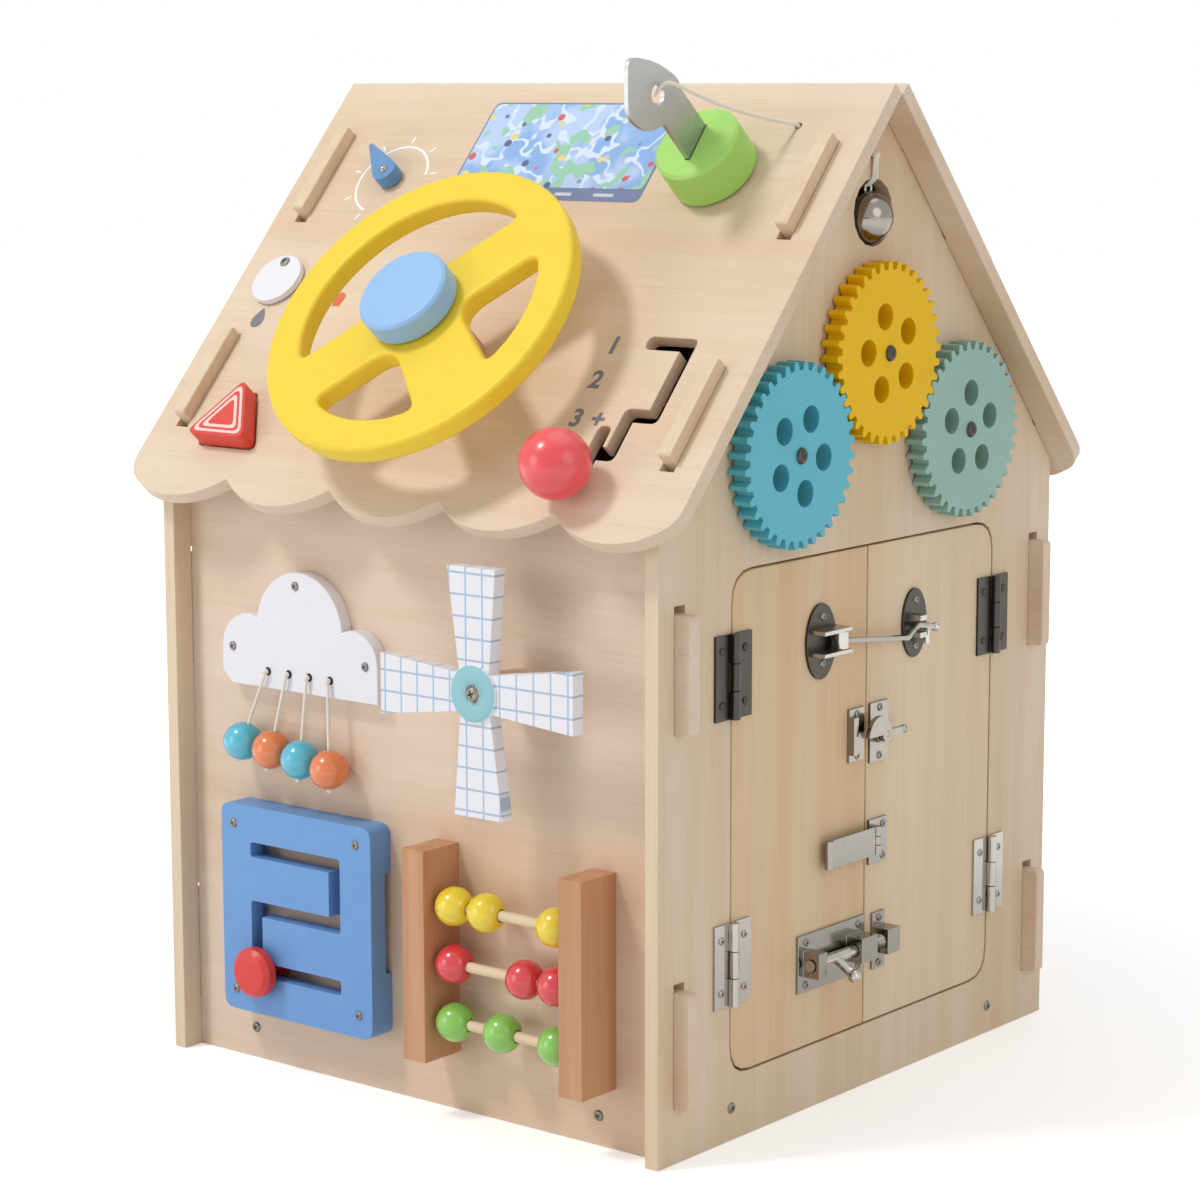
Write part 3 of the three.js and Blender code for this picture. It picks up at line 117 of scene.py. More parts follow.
class Net:
    """The nodes of a material or of the world."""

    def __init__(self, owner):
        owner.use_nodes = True
        self.owner = owner
        self.tree = owner.node_tree

    def feed(self, socket, value):
        """A link into a socket, or its own value."""
        value = value.value if isinstance(value, Sock) else value
        if isinstance(value, bpy.types.NodeSocket):
            self.tree.links.new(value, socket)
        elif isinstance(value, tuple) and len(value) == 3 and socket.type == "RGBA":
            socket.default_value = (*value, 1.0)
        else:
            socket.default_value = value

    def node(self, kind, inputs=None, out=0, **settings):
        """A new node: its type, its settings, then the values or links of its sockets."""
        node = self.tree.nodes.new("ShaderNode" + kind)
        for key, value in settings.items():
            setattr(node, key, value)
        for key, value in (inputs or {}).items():
            self.feed(node.inputs[key], value)
        return Sock(self, node.outputs[out])

    def place(self):
        """The shaded point at rest, in metres."""
        return self.node("TexCoord", out="Object")

    def xyz(self, vector):
        """The x, y and z of a vector."""
        parts = self.node("SeparateXYZ", {0: vector}).value.node
        return [Sock(self, output) for output in parts.outputs]

    def stretch(self, scale):
        """The shaded point with its x, y and z each times its own scale."""
        return self.node("VectorMath", {0: self.place(), 1: scale}, operation="MULTIPLY")

    def noise(self, scale, detail=2.0, rough=0.5):
        """Noise with so many waves to the metre, in all directions or along x, y and z."""
        spread = scale if isinstance(scale, tuple) else (scale, scale, scale)
        inputs = {"Vector": self.stretch(spread), "Scale": 1.0, "Detail": detail}
        return self.node("TexNoise", {**inputs, "Roughness": rough})

    def mix(self, share, a, b):
        """The colour (1 - share) a + share b."""
        return self.node("Mix", {0: share, 6: a, 7: b}, out=2, data_type="RGBA")

    def in_view(self):
        """1 for what the camera sees, also in metal or through glass, and 0 for plain light."""
        path = self.node("LightPath").value.node
        rays = ("Is Camera Ray", "Is Glossy Ray", "Is Transmission Ray")
        direct, mirrored, through = (Sock(self, path.outputs[ray]) for ray in rays)
        return direct.most(mirrored).most(through)


class Skin(Net):
    """A material round its Principled shader."""

    def __init__(self, name, slot):
        super().__init__(bpy.data.materials.new(name))
        self.slot = slot
        self.shader = next(n for n in self.tree.nodes if n.type == "BSDF_PRINCIPLED")

    def set(self, **values):
        """Feeds the shader's sockets by their names, with _ for a space."""
        for key, value in values.items():
            self.feed(self.shader.inputs[key.replace("_", " ")], value)
        return self

    def bump(self, height, strength, distance):
        """Relief from a height of 0 to 1, over a distance in metres."""
        inputs = {"Height": height, "Strength": strength, "Distance": distance}
        return self.set(Normal=self.node("Bump", inputs))


def rgb(code):
    """Linear colour of an sRGB hex code."""
    parts = [int(code[i : i + 2], 16) / 255 for i in (0, 2, 4)]
    return tuple(p / 12.92 if p <= 0.04045 else ((p + 0.055) / 1.055) ** 2.4 for p in parts)


# Finishes
FIBRE_BROWN, FLECK_BROWN = "b08a62", "8a6444"


def wood(slot, pale, warm, along, streak=0.4, rough=0.55):
    """Clear plywood: bands, streaks and fibres along one axis, and a few dark flecks."""
    skin = Skin("wood_" + pale, slot)
    runs = {"x": (True, False, False), "z": (False, False, True)}[along]

    def grain(across, length, detail, coarse=0.5):
        return skin.noise(tuple(length if run else across for run in runs), detail, coarse)

    bands = grain(13, 1.5, 2)
    streaks = grain(80, 2.6, 3, 0.6)
    fibres = grain(650, 20, 2, 0.6)
    flecks = grain(900, 55, 1)
    tone = bands.step(0.3, 0.72) * (1 - streak) + streaks.step(0.36, 0.68) * streak
    color = skin.mix(tone, rgb(pale), rgb(warm))
    color = skin.mix(fibres.step(0.45, 0.8) * 0.13, color, rgb(FIBRE_BROWN))
    color = skin.mix(flecks.step(0.68, 0.76) * 0.1, color, rgb(FLECK_BROWN))
    skin.set(Base_Color=color, Roughness=fibres * 0.16 + (rough - 0.08))
    return skin.bump(fibres, 0.1, 0.0003)


def paint(slot, code, deep, rough=0.42, coat=0.0, speck=0.24, sheen=0.5):
    """Paint on wood: a little mottling, with the grain faintly below it."""
    skin = Skin("paint_" + code, slot)
    cloud = skin.noise(60, 3)
    grain = skin.noise((90, 420, 420), 2)
    share = (cloud * 0.6 + grain * 0.4).step(0.3, 0.75) * speck
    color = skin.mix(share, rgb(code), rgb(deep))
    skin.set(Base_Color=color, Roughness=cloud * 0.1 + (rough - 0.05))
    skin.set(Coat_Weight=coat, Coat_Roughness=0.12, Specular_IOR_Level=sheen)
    return skin.bump(grain, 0.05, 0.0003)


def metal(slot, code, rough, spread=0.1):
    """Plated steel with slightly uneven polish and faint scuffs."""
    skin = Skin("metal_" + code, slot)
    smear = skin.noise(160, 3)
    scuff = skin.noise((900, 900, 120), 2)
    worn = smear.step(0.3, 0.8) * 0.22 + scuff.step(0.6, 0.7) * 0.15
    color = skin.mix(worn, rgb(code), tuple(part * 0.68 for part in rgb(code)))
    skin.set(Base_Color=color, Metallic=1.0, Roughness=smear * spread + (rough - spread / 2))
    return skin.bump(smear, 0.06, 0.0004)


def hook_plate_painted_reflection():
    """Nickel hook plate with a painted reflection: the flat oval plate is painted dark, the raised
    ears bright; the colour changes 1.5 to 1.9 mm over the gable's face.
    """
    skin = Skin("hook_plate_painted_reflection", "nickel")
    x, _, _ = skin.xyz(skin.place())
    raised = ((x - (FACE + MIDDLE.x) * 0.001) * 1000).step(1.5, 1.9)
    smear = skin.noise(160, 3)
    # painted reflection: the flat plate's dark colour stands in for a dark reflection on the nickel
    plate = skin.mix(smear * 0.6, rgb("4f4a44"), rgb("35312c"))
    color = skin.mix(raised, plate, rgb("b3aea6"))
    skin.set(Base_Color=color, Metallic=1.0, Roughness=smear * 0.1 + 0.26)
    return skin.bump(smear, 0.06, 0.0004)


def sail_paint(gap=9.6):
    """White with thin blue lines, a gap apart and square to the blades."""
    skin = Skin("sail_paint", "white")
    x, _, z = skin.xyz(skin.place())
    axle = FRONT @ Vector((*WINDMILL, 0))
    lines = []
    for part, middle in ((x, axle.x), (z, axle.z)):
        cell = (part * 1000 - (middle - gap / 2)) / gap
        lines.append(1 - (cell - cell.math("ROUND")).abs().step(0.03, 0.065))
    shade = skin.noise(60, 3)
    ground = skin.mix(shade * 0.3, rgb("eaeaf0"), rgb("dddce4"))
    skin.set(Base_Color=skin.mix(lines[0].most(lines[1]) * 0.7, ground, rgb("7fa3c2")))
    return skin.set(Roughness=shade * 0.1 + 0.42)


def chart_paint():
    """An invented chart: pale and mid blue ground, winding pale ways, green patches, some dots."""
    skin = Skin("chart_paint", "sky")
    spots = {"Vector": skin.stretch((1, 1, 1)), "Scale": 120.0}
    cells = skin.node("TexVoronoi", spots).value.node
    first, second, third = skin.xyz(Sock(skin, cells.outputs["Color"]))
    dots = 1 - Sock(skin, cells.outputs["Distance"]).step(0.24, 0.3)
    ways = (skin.noise(48, 2) - 0.5).abs()
    color = skin.mix(skin.noise(38, 2).step(0.42, 0.6), rgb("b4cbee"), rgb("83abe0"))
    color = skin.mix(ways.step(0.012, 0.028), rgb("d3e1f4"), color)
    color = skin.mix(skin.noise(85, 1).step(0.6, 0.63), color, rgb("93c7ab"))
    kinds = ((first, 0.7, "c85a5c"), (second, 0.76, "4a5a8c"), (third, 0.84, "e0cf7d"))
    for draw, least, code in kinds:
        color = skin.mix(dots * draw.step(least, least + 0.02), color, rgb(code))
    return skin.set(Base_Color=color, Roughness=ways * 0.1 + 0.42)


LOOKS = {
    "gable": wood("pine", "e3cfb6", "d6ba97", "z", 0.35),
    "left_door": wood("pine", "e2c9a6", "d6b186", "z", 0.34),
    "right_door": wood("pine", "e6d2b5", "dcbe99", "z", 0.3),
    "front": wood("pine", "e5d0bc", "dabb9e", "x", 0.25),
    "roof": wood("pine", "e3d0ba", "d7bb9c", "x", 0.25),
    "floor": wood("pine", "e0cbae", "d3b18a", "x"),
    "beech": wood("beech", "d3a27c", "ba845d", "z", 0.6, 0.5),
    "dowel": wood("pine", "e8d6b8", "dcc29c", "x", 0.3, 0.5),
    "yellow": paint("yellow", "f3d136", "e4ba24", sheen=0.35),
    "gear_yellow": paint("yellow", "f0c000", "dda600", sheen=0.2),
    "cyan": paint("cyan", "55b6c8", "469fb2"),
    "hub": paint("cyan", "8fc3cd", "7cb2bd"),
    "sage": paint("sage", "8fb5aa", "7ca398"),
    "sky": paint("sky", "92bce8", "80abda"),
    "blue": paint("blue", "6a9bd4", "5a8bc6"),
    "needle": paint("blue", "5d8fc0", "44719c"),
    "red": paint("red", "ec4c53", "da3c43", 0.3, 0.4),
    "knob": paint("red", "dd3d36", "c82f2a", 0.4),
    "hazard": paint("red", "dc3f30", "c43526", 0.42),
    "green": paint("green", "a5d86a", "90c456", 0.4),
    "bead_yellow": paint("yellow", "f0d52c", "dcbd1e", 0.22, 0.5),
    "bead_red": paint("red", "e23e49", "cc2f3b", 0.22, 0.5),
    "bead_green": paint("green", "8ccc58", "78b645", 0.22, 0.5),
    "turquoise": paint("turquoise", "55bdd6", "46a6c0", 0.25, 0.5),
    "orange": paint("orange", "e8834a", "d46c37", 0.25, 0.5),
    "white": paint("white", "e8e7ed", "dcdae3"),
    "print": paint("white", "f4f4f2", "e6e6e4", 0.6),
    "rosy_print": paint("white", "f3d3cd", "e8c0ba", 0.5),
    "ink": paint("dark_nickel", "77767a", "69686c", 0.6),
    "pale_ink": paint("white", "c9cfdd", "b9c0d0", 0.6),
    "orange_ink": paint("orange", "d9693c", "c65a30", 0.6),
    "slate": paint("blue", "6c7ba0", "5d6b8f", 0.5),
    # hole: dark paint for sheets laid on recesses, slits and holes, as their painted shade
    "hole": paint("dark_nickel", "35302b", "262220", 0.8),
    "cord": paint("cord", "ece6da", "d8cfbd", 0.85),
    "steel": metal("nickel", "98938b", 0.17, 0.08),
    "bright": metal("nickel", "b2aea7", 0.12, 0.06),
    "dark": metal("dark_nickel", "494540", 0.32),
    "bell_metal": metal("nickel", "8f8a82", 0.16, 0.06),
    "key": metal("nickel", "b4b5b4", 0.42),
    "screw": metal("nickel", "858078", 0.35),
    # hook plate: its flat part painted dark, a painted reflection
    "painted_reflection_plates": hook_plate_painted_reflection(),
    "sail": sail_paint(),
    "chart": chart_paint(),
}
BODY = {n: b for b, members in frame["record"]["behaviour"]["bodies"].items() for n in members}
SLOT = {part["node"]: part["material_slot"] for part in frame["record"]["subparts"]}

# Surfaces: degrees between two faces, and metres between two points
SHARP = 35.0  # from here on an edge is sharp
ROUND = 60.0  # the same on balls and cords
FLAT = 0.6  # up to here two faces are one
DOUBLE, WELD = 1e-7, 2e-6  # up to here two points are one, in a new mesh and in a solid's


def settle(name, mesh, body, look, smooth=SHARP, replaces=(), slot=None):
    """A mesh as a piece: its look, the body it rides on, the nodes it replaces; its slot is not
    used.
    """
    piece = bpy.data.objects.new(name, mesh)
    bpy.context.scene.collection.objects.link(piece)
    mesh.materials.clear()
    mesh.materials.append(LOOKS[look].owner)
    if smooth:
        mesh.shade_smooth()
        mesh.set_sharp_from_angle(angle=math.radians(smooth))
    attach(piece, body)
    if replaces:
        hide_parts(*replaces)
    return piece


def merged(mesh, outward=True):
    """Merges a mesh's doubles and, unless told not to, turns its faces outward."""
    bm = bmesh.new()
    bm.from_mesh(mesh)
    bmesh.ops.remove_doubles(bm, verts=bm.verts, dist=DOUBLE)
    if outward:
        bmesh.ops.recalc_face_normals(bm, faces=bm.faces)
    bm.to_mesh(mesh)
    bm.free()


def grid(name, place, points, body, look, closed=False, **facts):
    """A surface over rows of points that close round: each cell of four neighbours is a face.

    The last row joins the first when closed; otherwise both end rows are faces of their own.
    """
    rows, columns = points.shape[:2]
    index = np.arange(rows * columns).reshape(rows, columns)
    here = index if closed else index[:-1]
    above = np.roll(index, -1, axis=0) if closed else index[1:]
    beside = [here, np.roll(here, -1, axis=1), np.roll(above, -1, axis=1), above]
    faces = np.stack(beside, axis=-1).reshape(-1, 4).tolist()
    if not closed:
        faces += [index[0, ::-1].tolist(), index[-1].tolist()]
    move = np.array(MILLI @ place)
    mesh = bpy.data.meshes.new(name)
    mesh.from_pydata((points.reshape(-1, 3) @ move[:3, :3].T + move[:3, 3]).tolist(), [], faces)
    merged(mesh)
    return settle(name, mesh, body, look, **facts)


def lathe(name, place, profile, body, look, turns=48, centre=(0, 0, 0), axis=(0, 0, 1), **facts):
    """A profile turned round an axis: (r cos a, r sin a, h) for each pair (r, h) and angle a."""
    angle = np.linspace(0, 2 * np.pi, turns, endpoint=False)
    radius, rise = np.hsplit(np.array(profile, float), 2)
    points = [radius * np.cos(angle), radius * np.sin(angle), rise + 0 * angle]
    lean = np.array(Vector((0, 0, 1)).rotation_difference(Vector(axis)).to_matrix())
    points = np.stack(points, axis=-1) @ lean.T + np.array(centre)
    return grid(name, place, points, body, look, **facts)


def arc(x, y, radius, start, end, steps):
    """Points (x + r cos a, y + r sin a), a from start to end in degrees."""
    angle = np.radians(np.linspace(start, end, steps + 1))
    points = [x + radius * np.cos(angle), y + radius * np.sin(angle)]
    return np.stack(points, axis=-1).round(9).tolist()


def circle(x, y, radius, count):
    """An arc of count points, spread evenly all round."""
    return arc(x, y, radius, 0, 360 - 360 / count, count - 1)


def ball(name, place, centre, radius, body, look, axis=(0, 0, 1), bore=0.0, **facts):
    """A turned ball, r = R cos b and h = R sin b, with a straight bore along its axis."""
    end = 90 - math.degrees(math.asin(bore / radius))
    profile = arc(0, 0, radius, -end, end, 22)
    facts = {"smooth": ROUND, **facts}
    return lathe(name, place, profile, body, look, 44, centre, axis, closed=bore > 0, **facts)


def tube(name, place, line, radius, body, look, sides=12, **facts):
    """A round section carried along a path: p(t) + r (cos a side(t) + sin a other(t))."""
    line = np.array(line, float)
    ahead = np.gradient(line, axis=0)
    ahead /= np.linalg.norm(ahead, axis=1, keepdims=True)
    across = np.eye(3)[np.abs(ahead).max(axis=0).argmin()]
    side = np.cross(ahead, across)
    side /= np.linalg.norm(side, axis=1, keepdims=True)
    other = np.cross(ahead, side)
    angle = np.linspace(0, 2 * np.pi, sides, endpoint=False)[:, None]
    section = np.cos(angle) * side[:, None] + np.sin(angle) * other[:, None]
    return grid(name, place, line[:, None] + radius * section, body, look, smooth=ROUND, **facts)


def band(name, place, centre, radius, half, lift, span, heading, body, look):
    """A flat band bent over the foot of a ball: (r sin t, -r cos t, w), turned to its heading.

    The angle t runs from -span to span, w from -half to half, and r is the radius -lift or +lift.
    """
    t = np.radians(np.linspace(-span, span, 25))[:, None]
    w = np.array([-half, half, half, -half])
    r = radius + np.array([-lift, -lift, lift, lift])
    run, drop, across = r * np.sin(t), -r * np.cos(t), w + 0 * t
    c, s = math.cos(heading), math.sin(heading)
    points = np.stack([run * c - across * s, drop, run * s + across * c], axis=-1)
    return grid(name, place, points + np.array(centre), body, look)


def flat_mesh(curve, place):
    """A flat curve or text as a mesh, then moved to its place."""
    holder = bpy.data.objects.new(curve.name, curve)
    bpy.context.scene.collection.objects.link(holder)
    ready = holder.evaluated_get(bpy.context.evaluated_depsgraph_get())
    mesh = bpy.data.meshes.new_from_object(ready)
    bpy.data.objects.remove(holder)
    mesh.transform(MILLI @ place)
    merged(mesh, False)
    return mesh


def outline_curve(name, thick, outlines):
    """Closed outlines as one flat curve, filled between them and as thick as asked."""
    curve = bpy.data.curves.new(name, "CURVE")
    curve.dimensions = "2D"
    curve.fill_mode = "BOTH"
    curve.extrude = thick / 2
    for points in outlines:
        spline = curve.splines.new("POLY")
        spline.points.add(len(points) - 1)
        flat = np.zeros((len(points), 4))
        flat[:, :2] = points
        spline.points.foreach_set("co", flat.ravel())
        spline.use_cyclic_u = True
    return curve


def sheet(name, place, outline, bottom, top, body, look, holes=(), **facts):
    """A flat piece cut from an outline and its holes."""
    curve = outline_curve(name, top - bottom, [outline, *holes])
    mesh = flat_mesh(curve, place @ Matrix.Translation((0, 0, (top + bottom) / 2)))
    return settle(name, mesh, body, look, **facts)


def number(name, place, text, x, y, tall, body, look):
    """A plain number printed on a surface, a little bolder than the typeface."""
    curve = bpy.data.curves.new(name, "FONT")
    curve.body = text
    curve.size = tall
    curve.align_x = curve.align_y = "CENTER"
    curve.extrude = PRINT / 2
    curve.offset = tall * 0.03
    mesh = flat_mesh(curve, place @ Matrix.Translation((x, y, PRINT / 2)))
    return settle(name, mesh, body, look)


def rounded(points, radius, steps=5):
    """A polygon whose corners are quadratic curves: (1-t)^2 a + 2t(1-t) c + t^2 b.

    The radius is one number, or a list with a number for each corner.
    """
    corner = np.array(points, float)
    radius = np.array(radius, float).reshape(-1, 1)
    t = np.linspace(0, 1, steps + 1)[None, :, None]
    ends = []
    for neighbour in (np.roll(corner, 1, axis=0), np.roll(corner, -1, axis=0)):
        away = neighbour - corner
        length = np.linalg.norm(away, axis=1, keepdims=True)
        ends.append((corner + away / length * np.minimum(radius, length / 2))[:, None])
    made = ends[0] * (1 - t) ** 2 + corner[:, None] * (2 * t * (1 - t)) + ends[1] * t**2
    made = made.reshape(-1, 2)
    return made[np.linalg.norm(made - np.roll(made, 1, axis=0), axis=1) > 1e-6].tolist()


def block(left, right, low, high, radius):
    """A rectangle with rounded corners."""
    return rounded([(left, low), (right, low), (right, high), (left, high)], radius)


def softened(mesh, edge):
    """The mesh with its flat faces joined and kept flat, and its edges rounded if edge isn't 0."""
    bm = bmesh.new()
    bm.from_mesh(mesh)
    bmesh.ops.remove_doubles(bm, verts=bm.verts, dist=WELD)
    bmesh.ops.dissolve_limit(bm, angle_limit=math.radians(FLAT), verts=bm.verts, edges=bm.edges)
    bm.to_mesh(mesh)
    bm.free()
    mesh.shade_smooth()
    mesh.set_sharp_from_angle(angle=math.radians(SHARP))
    holder = bpy.data.objects.new(mesh.name, mesh)
    bpy.context.scene.collection.objects.link(holder)
    bevel = holder.modifiers.new("edges", "BEVEL")
    bevel.width = edge / 1000
    bevel.segments = 2
    bevel.limit_method = "ANGLE"
    bevel.angle_limit = math.radians(SHARP)
    holder.modifiers.new("flat_faces", "WEIGHTED_NORMAL").keep_sharp = True
    ready = holder.evaluated_get(bpy.context.evaluated_depsgraph_get())
    made = bpy.data.meshes.new_from_object(ready)
    bpy.data.objects.remove(holder)
    return made


def dress(node, look, edge):
    """A copy of a node's solid with rounded edges and its finish."""
    mesh = softened(frame["nodes"][node].data.copy(), edge)
    return settle(node + "_look", mesh, BODY[node], look, 0, (node,), SLOT[node])


def seat(node, place):
    """A node's middle x and y on a side, and its highest point there, in millimetres."""
    ends = np.array([place.inverted() @ (Vector(corner) * 1000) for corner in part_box(node)])
    return (*ends.mean(axis=0)[:2], ends[:, 2].max())


screw_numbers = itertools.count(1)


def screw(place, x, y, z, body, radius, look="screw", turn=20.0):
    """A pan head with a cross recess, both in shares of its radius; the recess is a dark cross laid
    on the head, its painted shade.
    """
    tag = "screw_%02d" % next(screw_numbers)
    rise, crown, foot, sunk = radius * 0.42, radius * 0.55, radius * 0.9, -0.3
    head = [(0, rise), *arc(crown, 0, rise, 90, 20, 4), (radius, 0), (foot, sunk), (0, sunk)]
    lathe(tag, place, head, body, look, 24, (x, y, z))
    spin = Matrix.Rotation(math.radians(turn), 4, "Z")
    here = place @ Matrix.Translation((x, y, z + rise)) @ spin
    arm, thin = radius * 0.5, radius * 0.13
    corner = [(thin, thin), (thin, arm), (-thin, arm)]
    quarters = ((1, 0), (0, 1), (-1, 0), (0, -1))
    cross = [(c * a - s * b, s * a + c * b) for c, s in quarters for a, b in corner]
    # The recess is painted: a dark cross on the head is its painted shade
    sheet(tag + "_cross", here, cross, -rise * 0.1, rise * 0.03, body, "hole")


# Camera at the photograph's place: its way and roll in degrees, its place from the house's middle
AZIMUTH, DIP, ROLL, LENS = 38.84, 9.15, -0.11, 97.66
CAMERA_AT = Vector((982.37, -1231.38, 470.53))
camera = bpy.data.objects.new("camera", bpy.data.cameras.new("camera"))
bpy.context.scene.collection.objects.link(camera)
bpy.context.scene.camera = camera
camera.data.sensor_width = 36
camera.data.lens = LENS
camera.data.clip_end = 20
azimuth, dip, roll = (math.radians(v) for v in (AZIMUTH, DIP, ROLL))
right = Vector((math.cos(azimuth), math.sin(azimuth), 0))
away = Vector((-math.sin(azimuth), math.cos(azimuth), 0))
ahead = away * math.cos(dip) - Vector((0, 0, math.sin(dip)))
level = right * math.cos(roll) + right.cross(ahead) * math.sin(roll)
facing = Matrix((level, level.cross(ahead), -ahead)).transposed().to_4x4()
camera.matrix_world = Matrix.Translation(MILLI @ (MIDDLE + CAMERA_AT)) @ facing

# The key's cord, along the route of its solid: x, y and z outward from the roof's underside
CORD_RADIUS = 0.9
ROUTE = [
    (91.2, -57, 64),
    (93.2, -56.6, 65.2),
    (95.4, -54.6, 67),
    (97.6, -51.6, 66),
    (99.6, -49.2, 60.8),
    (101.3, -47.2, 54.9),
    (103.7, -45.3, 48.9),
    (106.1, -43.4, 43.6),
    (108.4, -41.3, 38.5),
    (110.8, -39.1, 33.5),
    (113.1, -36.8, 28.5),
    (115.5, -34.3, 23.7),
    (117.9, -31.8, 19),
    (120.2, -29.1, 14.4),
    (122.6, -26.3, 9.9),
    (123.5, -25.5, 8.4),
    (123.7, -25.3, 6.2),
    (123.7, -25.3, 3),
    (123.7, -25.3, -3.5),
]


def eased(points, parts=5):
    """Catmull-Rom curve through the points, in parts steps from each one to the next.

    Between b and c: (2b + (c-a)t + (2a-5b+4c-d)t^2 + (3b-a-3c+d)t^3) / 2.
    """
    p = np.array(points, float)
    p = np.concatenate([[2 * p[0] - p[1]], p, [2 * p[-1] - p[-2]]])
    a, b, c, d = (p[i : len(p) - 3 + i, None] for i in range(4))
    t = np.linspace(0, 1, parts, endpoint=False)[None, :, None]
    bend, twist = 2 * a - 5 * b + 4 * c - d, 3 * b - a - 3 * c + d
    made = 0.5 * (2 * b + (c - a) * t + bend * t**2 + twist * t**3)
    return np.concatenate([made.reshape(-1, 3), p[-2:-1]])


route = eased(ROUTE)
facts = {"replaces": ("key_cord",), "slot": "cord"}
string = tube("key_string", UNDER, route, CORD_RADIUS, "house", "cord", 10, **facts)

# The solids with their finishes: rounded edge in millimetres, then node and look
DRESSED = {
    0.5: {
        "gable_right": "gable",
        "gable_left": "gable",
        "front_wall": "front",
        "back_wall": "front",
        "floor_panel": "floor",
        "roof_front": "roof",
        "roof_back": "roof",
        "door_left": "left_door",
        "door_right": "right_door",
    },
    0.15: {n: "dark" if "upper" in n else "bright" for n in BODY if n.startswith("hinge_")},
    0.2: {
        "sash_keeper": "steel",
        "sash_base": "steel",
        "sash_cam": "steel",
        "flip_base": "steel",
        "flip_plate": "steel",
        "bolt_base": "steel",
        "bolt_keeper": "steel",
        "hook_arm": "bright",
        "bolt_rod": "bright",
        "hook_pivot_plate": "painted_reflection_plates",
        "hook_catch_plate": "painted_reflection_plates",
    },
    0.4: {
        "gear_yellow": "gear_yellow",
        "gear_cyan": "cyan",
        "gear_sage": "sage",
        "windmill_sails": "sail",
        "cloud_panel": "white",
        "maze_panel": "blue",
        "abacus_frame": "beech",
        "wheel_cap": "sky",
        "wheel_post": "beech",
        "lock_barrel": "green",
        "hazard_button": "hazard",
        "dial_pointer": "needle",
        "swing_cover": "white",
        "maze_knob": "knob",
        "key": "key",
    },
}
for edge, dressed in DRESSED.items():
    for node, look in dressed.items():
        dress(node, look, edge)

# Abacus: the rods, and the beads turned smooth over their solids
ROD_X, ROD_HEIGHTS, ROD_OFF, ROD_RADIUS = (26.5, 65, 105), (100.9, 74, 46.8), 14.0, 2.46
BEAD_RADIUS, BEAD_BORE = 9.0, 3.0
for k, z in enumerate(ROD_HEIGHTS):
    rod = [(x, z, ROD_OFF) for x in ROD_X]
    tube("abacus_rod_%d" % k, FRONT, rod, ROD_RADIUS, "house", "dowel", 24, slot="beech")
for color in ("yellow", "red", "green"):
    for k in (1, 2, 3):
        node = "bead_%s_%d" % (color, k)
        x, z, _ = seat(node, FRONT)
        facts = {"axis": (1, 0, 0), "bore": BEAD_BORE, "replaces": (node,), "slot": SLOT[node]}
        ball(node + "_look", FRONT, (x, z, ROD_OFF), BEAD_RADIUS, node, "bead_" + color, **facts)

# Pendants: each string runs from its hole in the cloud through its bead to a knot below
STRING_X, STRING_Z, STRING_OFF = (-86, -72.5, -59.3, -45.9), 193.8, 8.7
STRING_RADIUS, KNOT, HOLE = 0.8, 1.4, 2.0
PENDANTS = ((-100.3, 159), (-81.5, 157.2), (-62.8, 154.8), (-44.1, 152.4))
PENDANT_OFF, PENDANT_RADIUS, PENDANT_BORE = 10.4, 9.2, 1.2
for i, (x, z) in enumerate(PENDANTS):
    node = "pendant_%d" % (i + 1)
    look = ("turquoise", "orange")[i % 2]
    start = np.array([STRING_X[i], STRING_Z, STRING_OFF])
    end = np.array([x, z, PENDANT_OFF])
    down = (end - start) / np.linalg.norm(end - start)
    facts = {"axis": tuple(down), "bore": PENDANT_BORE, "replaces": (node,), "slot": SLOT[node]}
    ball(node + "_look", FRONT, end, PENDANT_RADIUS, node, look, **facts)
    tip = end + down * (PENDANT_RADIUS + 1)
    strand = start + (tip - start) * np.linspace(0, 1, 9)[:, None]
    tube(node + "_string", FRONT, strand, STRING_RADIUS, node, "cord", slot="cord")
    knot = end + down * (PENDANT_RADIUS + 0.5)
    ball(node + "_knot", FRONT, knot, KNOT, node, "cord", slot="cord")
    ball(node + "_top_knot", FRONT, start, KNOT, node, "cord", slot="cord")
    # A dark disc on the cloud where each string goes in: painted shade of the hole
    hole = circle(STRING_X[i], STRING_Z, HOLE, 24)
    sheet(node + "_hole", FRONT, hole, PLY + 0.02, PLY + PRINT, "house", "hole")

# Bell: a ball with crossed slits below as dark bands of painted shade, and a seam, a wire eye, two
# strands through the gable
BELL, BELL_RADIUS, BELL_UP = np.array((-1.0, 407.2, -2.6)), 12.0, (0, 1, 0)
SLIT_HALF, SLIT_SPAN, SLIT_LIFT, CROSS_LIFT = 0.9, 50, 0.12, 0.1
SEAM = [(11.9, -0.35), (12.16, 0), (11.9, 0.35)]
EYE, EYE_WIRE, STRAND, STRAND_APART, BELL_KNOT = 2.4, 0.9, 0.75, 1.2, 1.9
HOLE_TOP, HOLE_LIP = np.array((-1.0, 435.0, 1.9)), np.array((-1.0, 424.8, 1.3))
facts = {"axis": BELL_UP, "replaces": ("bell",), "slot": "nickel"}
ball("bell_look", SIDE, BELL, BELL_RADIUS, "bell", "bell_metal", **facts)
slit = (SIDE, BELL, BELL_RADIUS, SLIT_HALF)
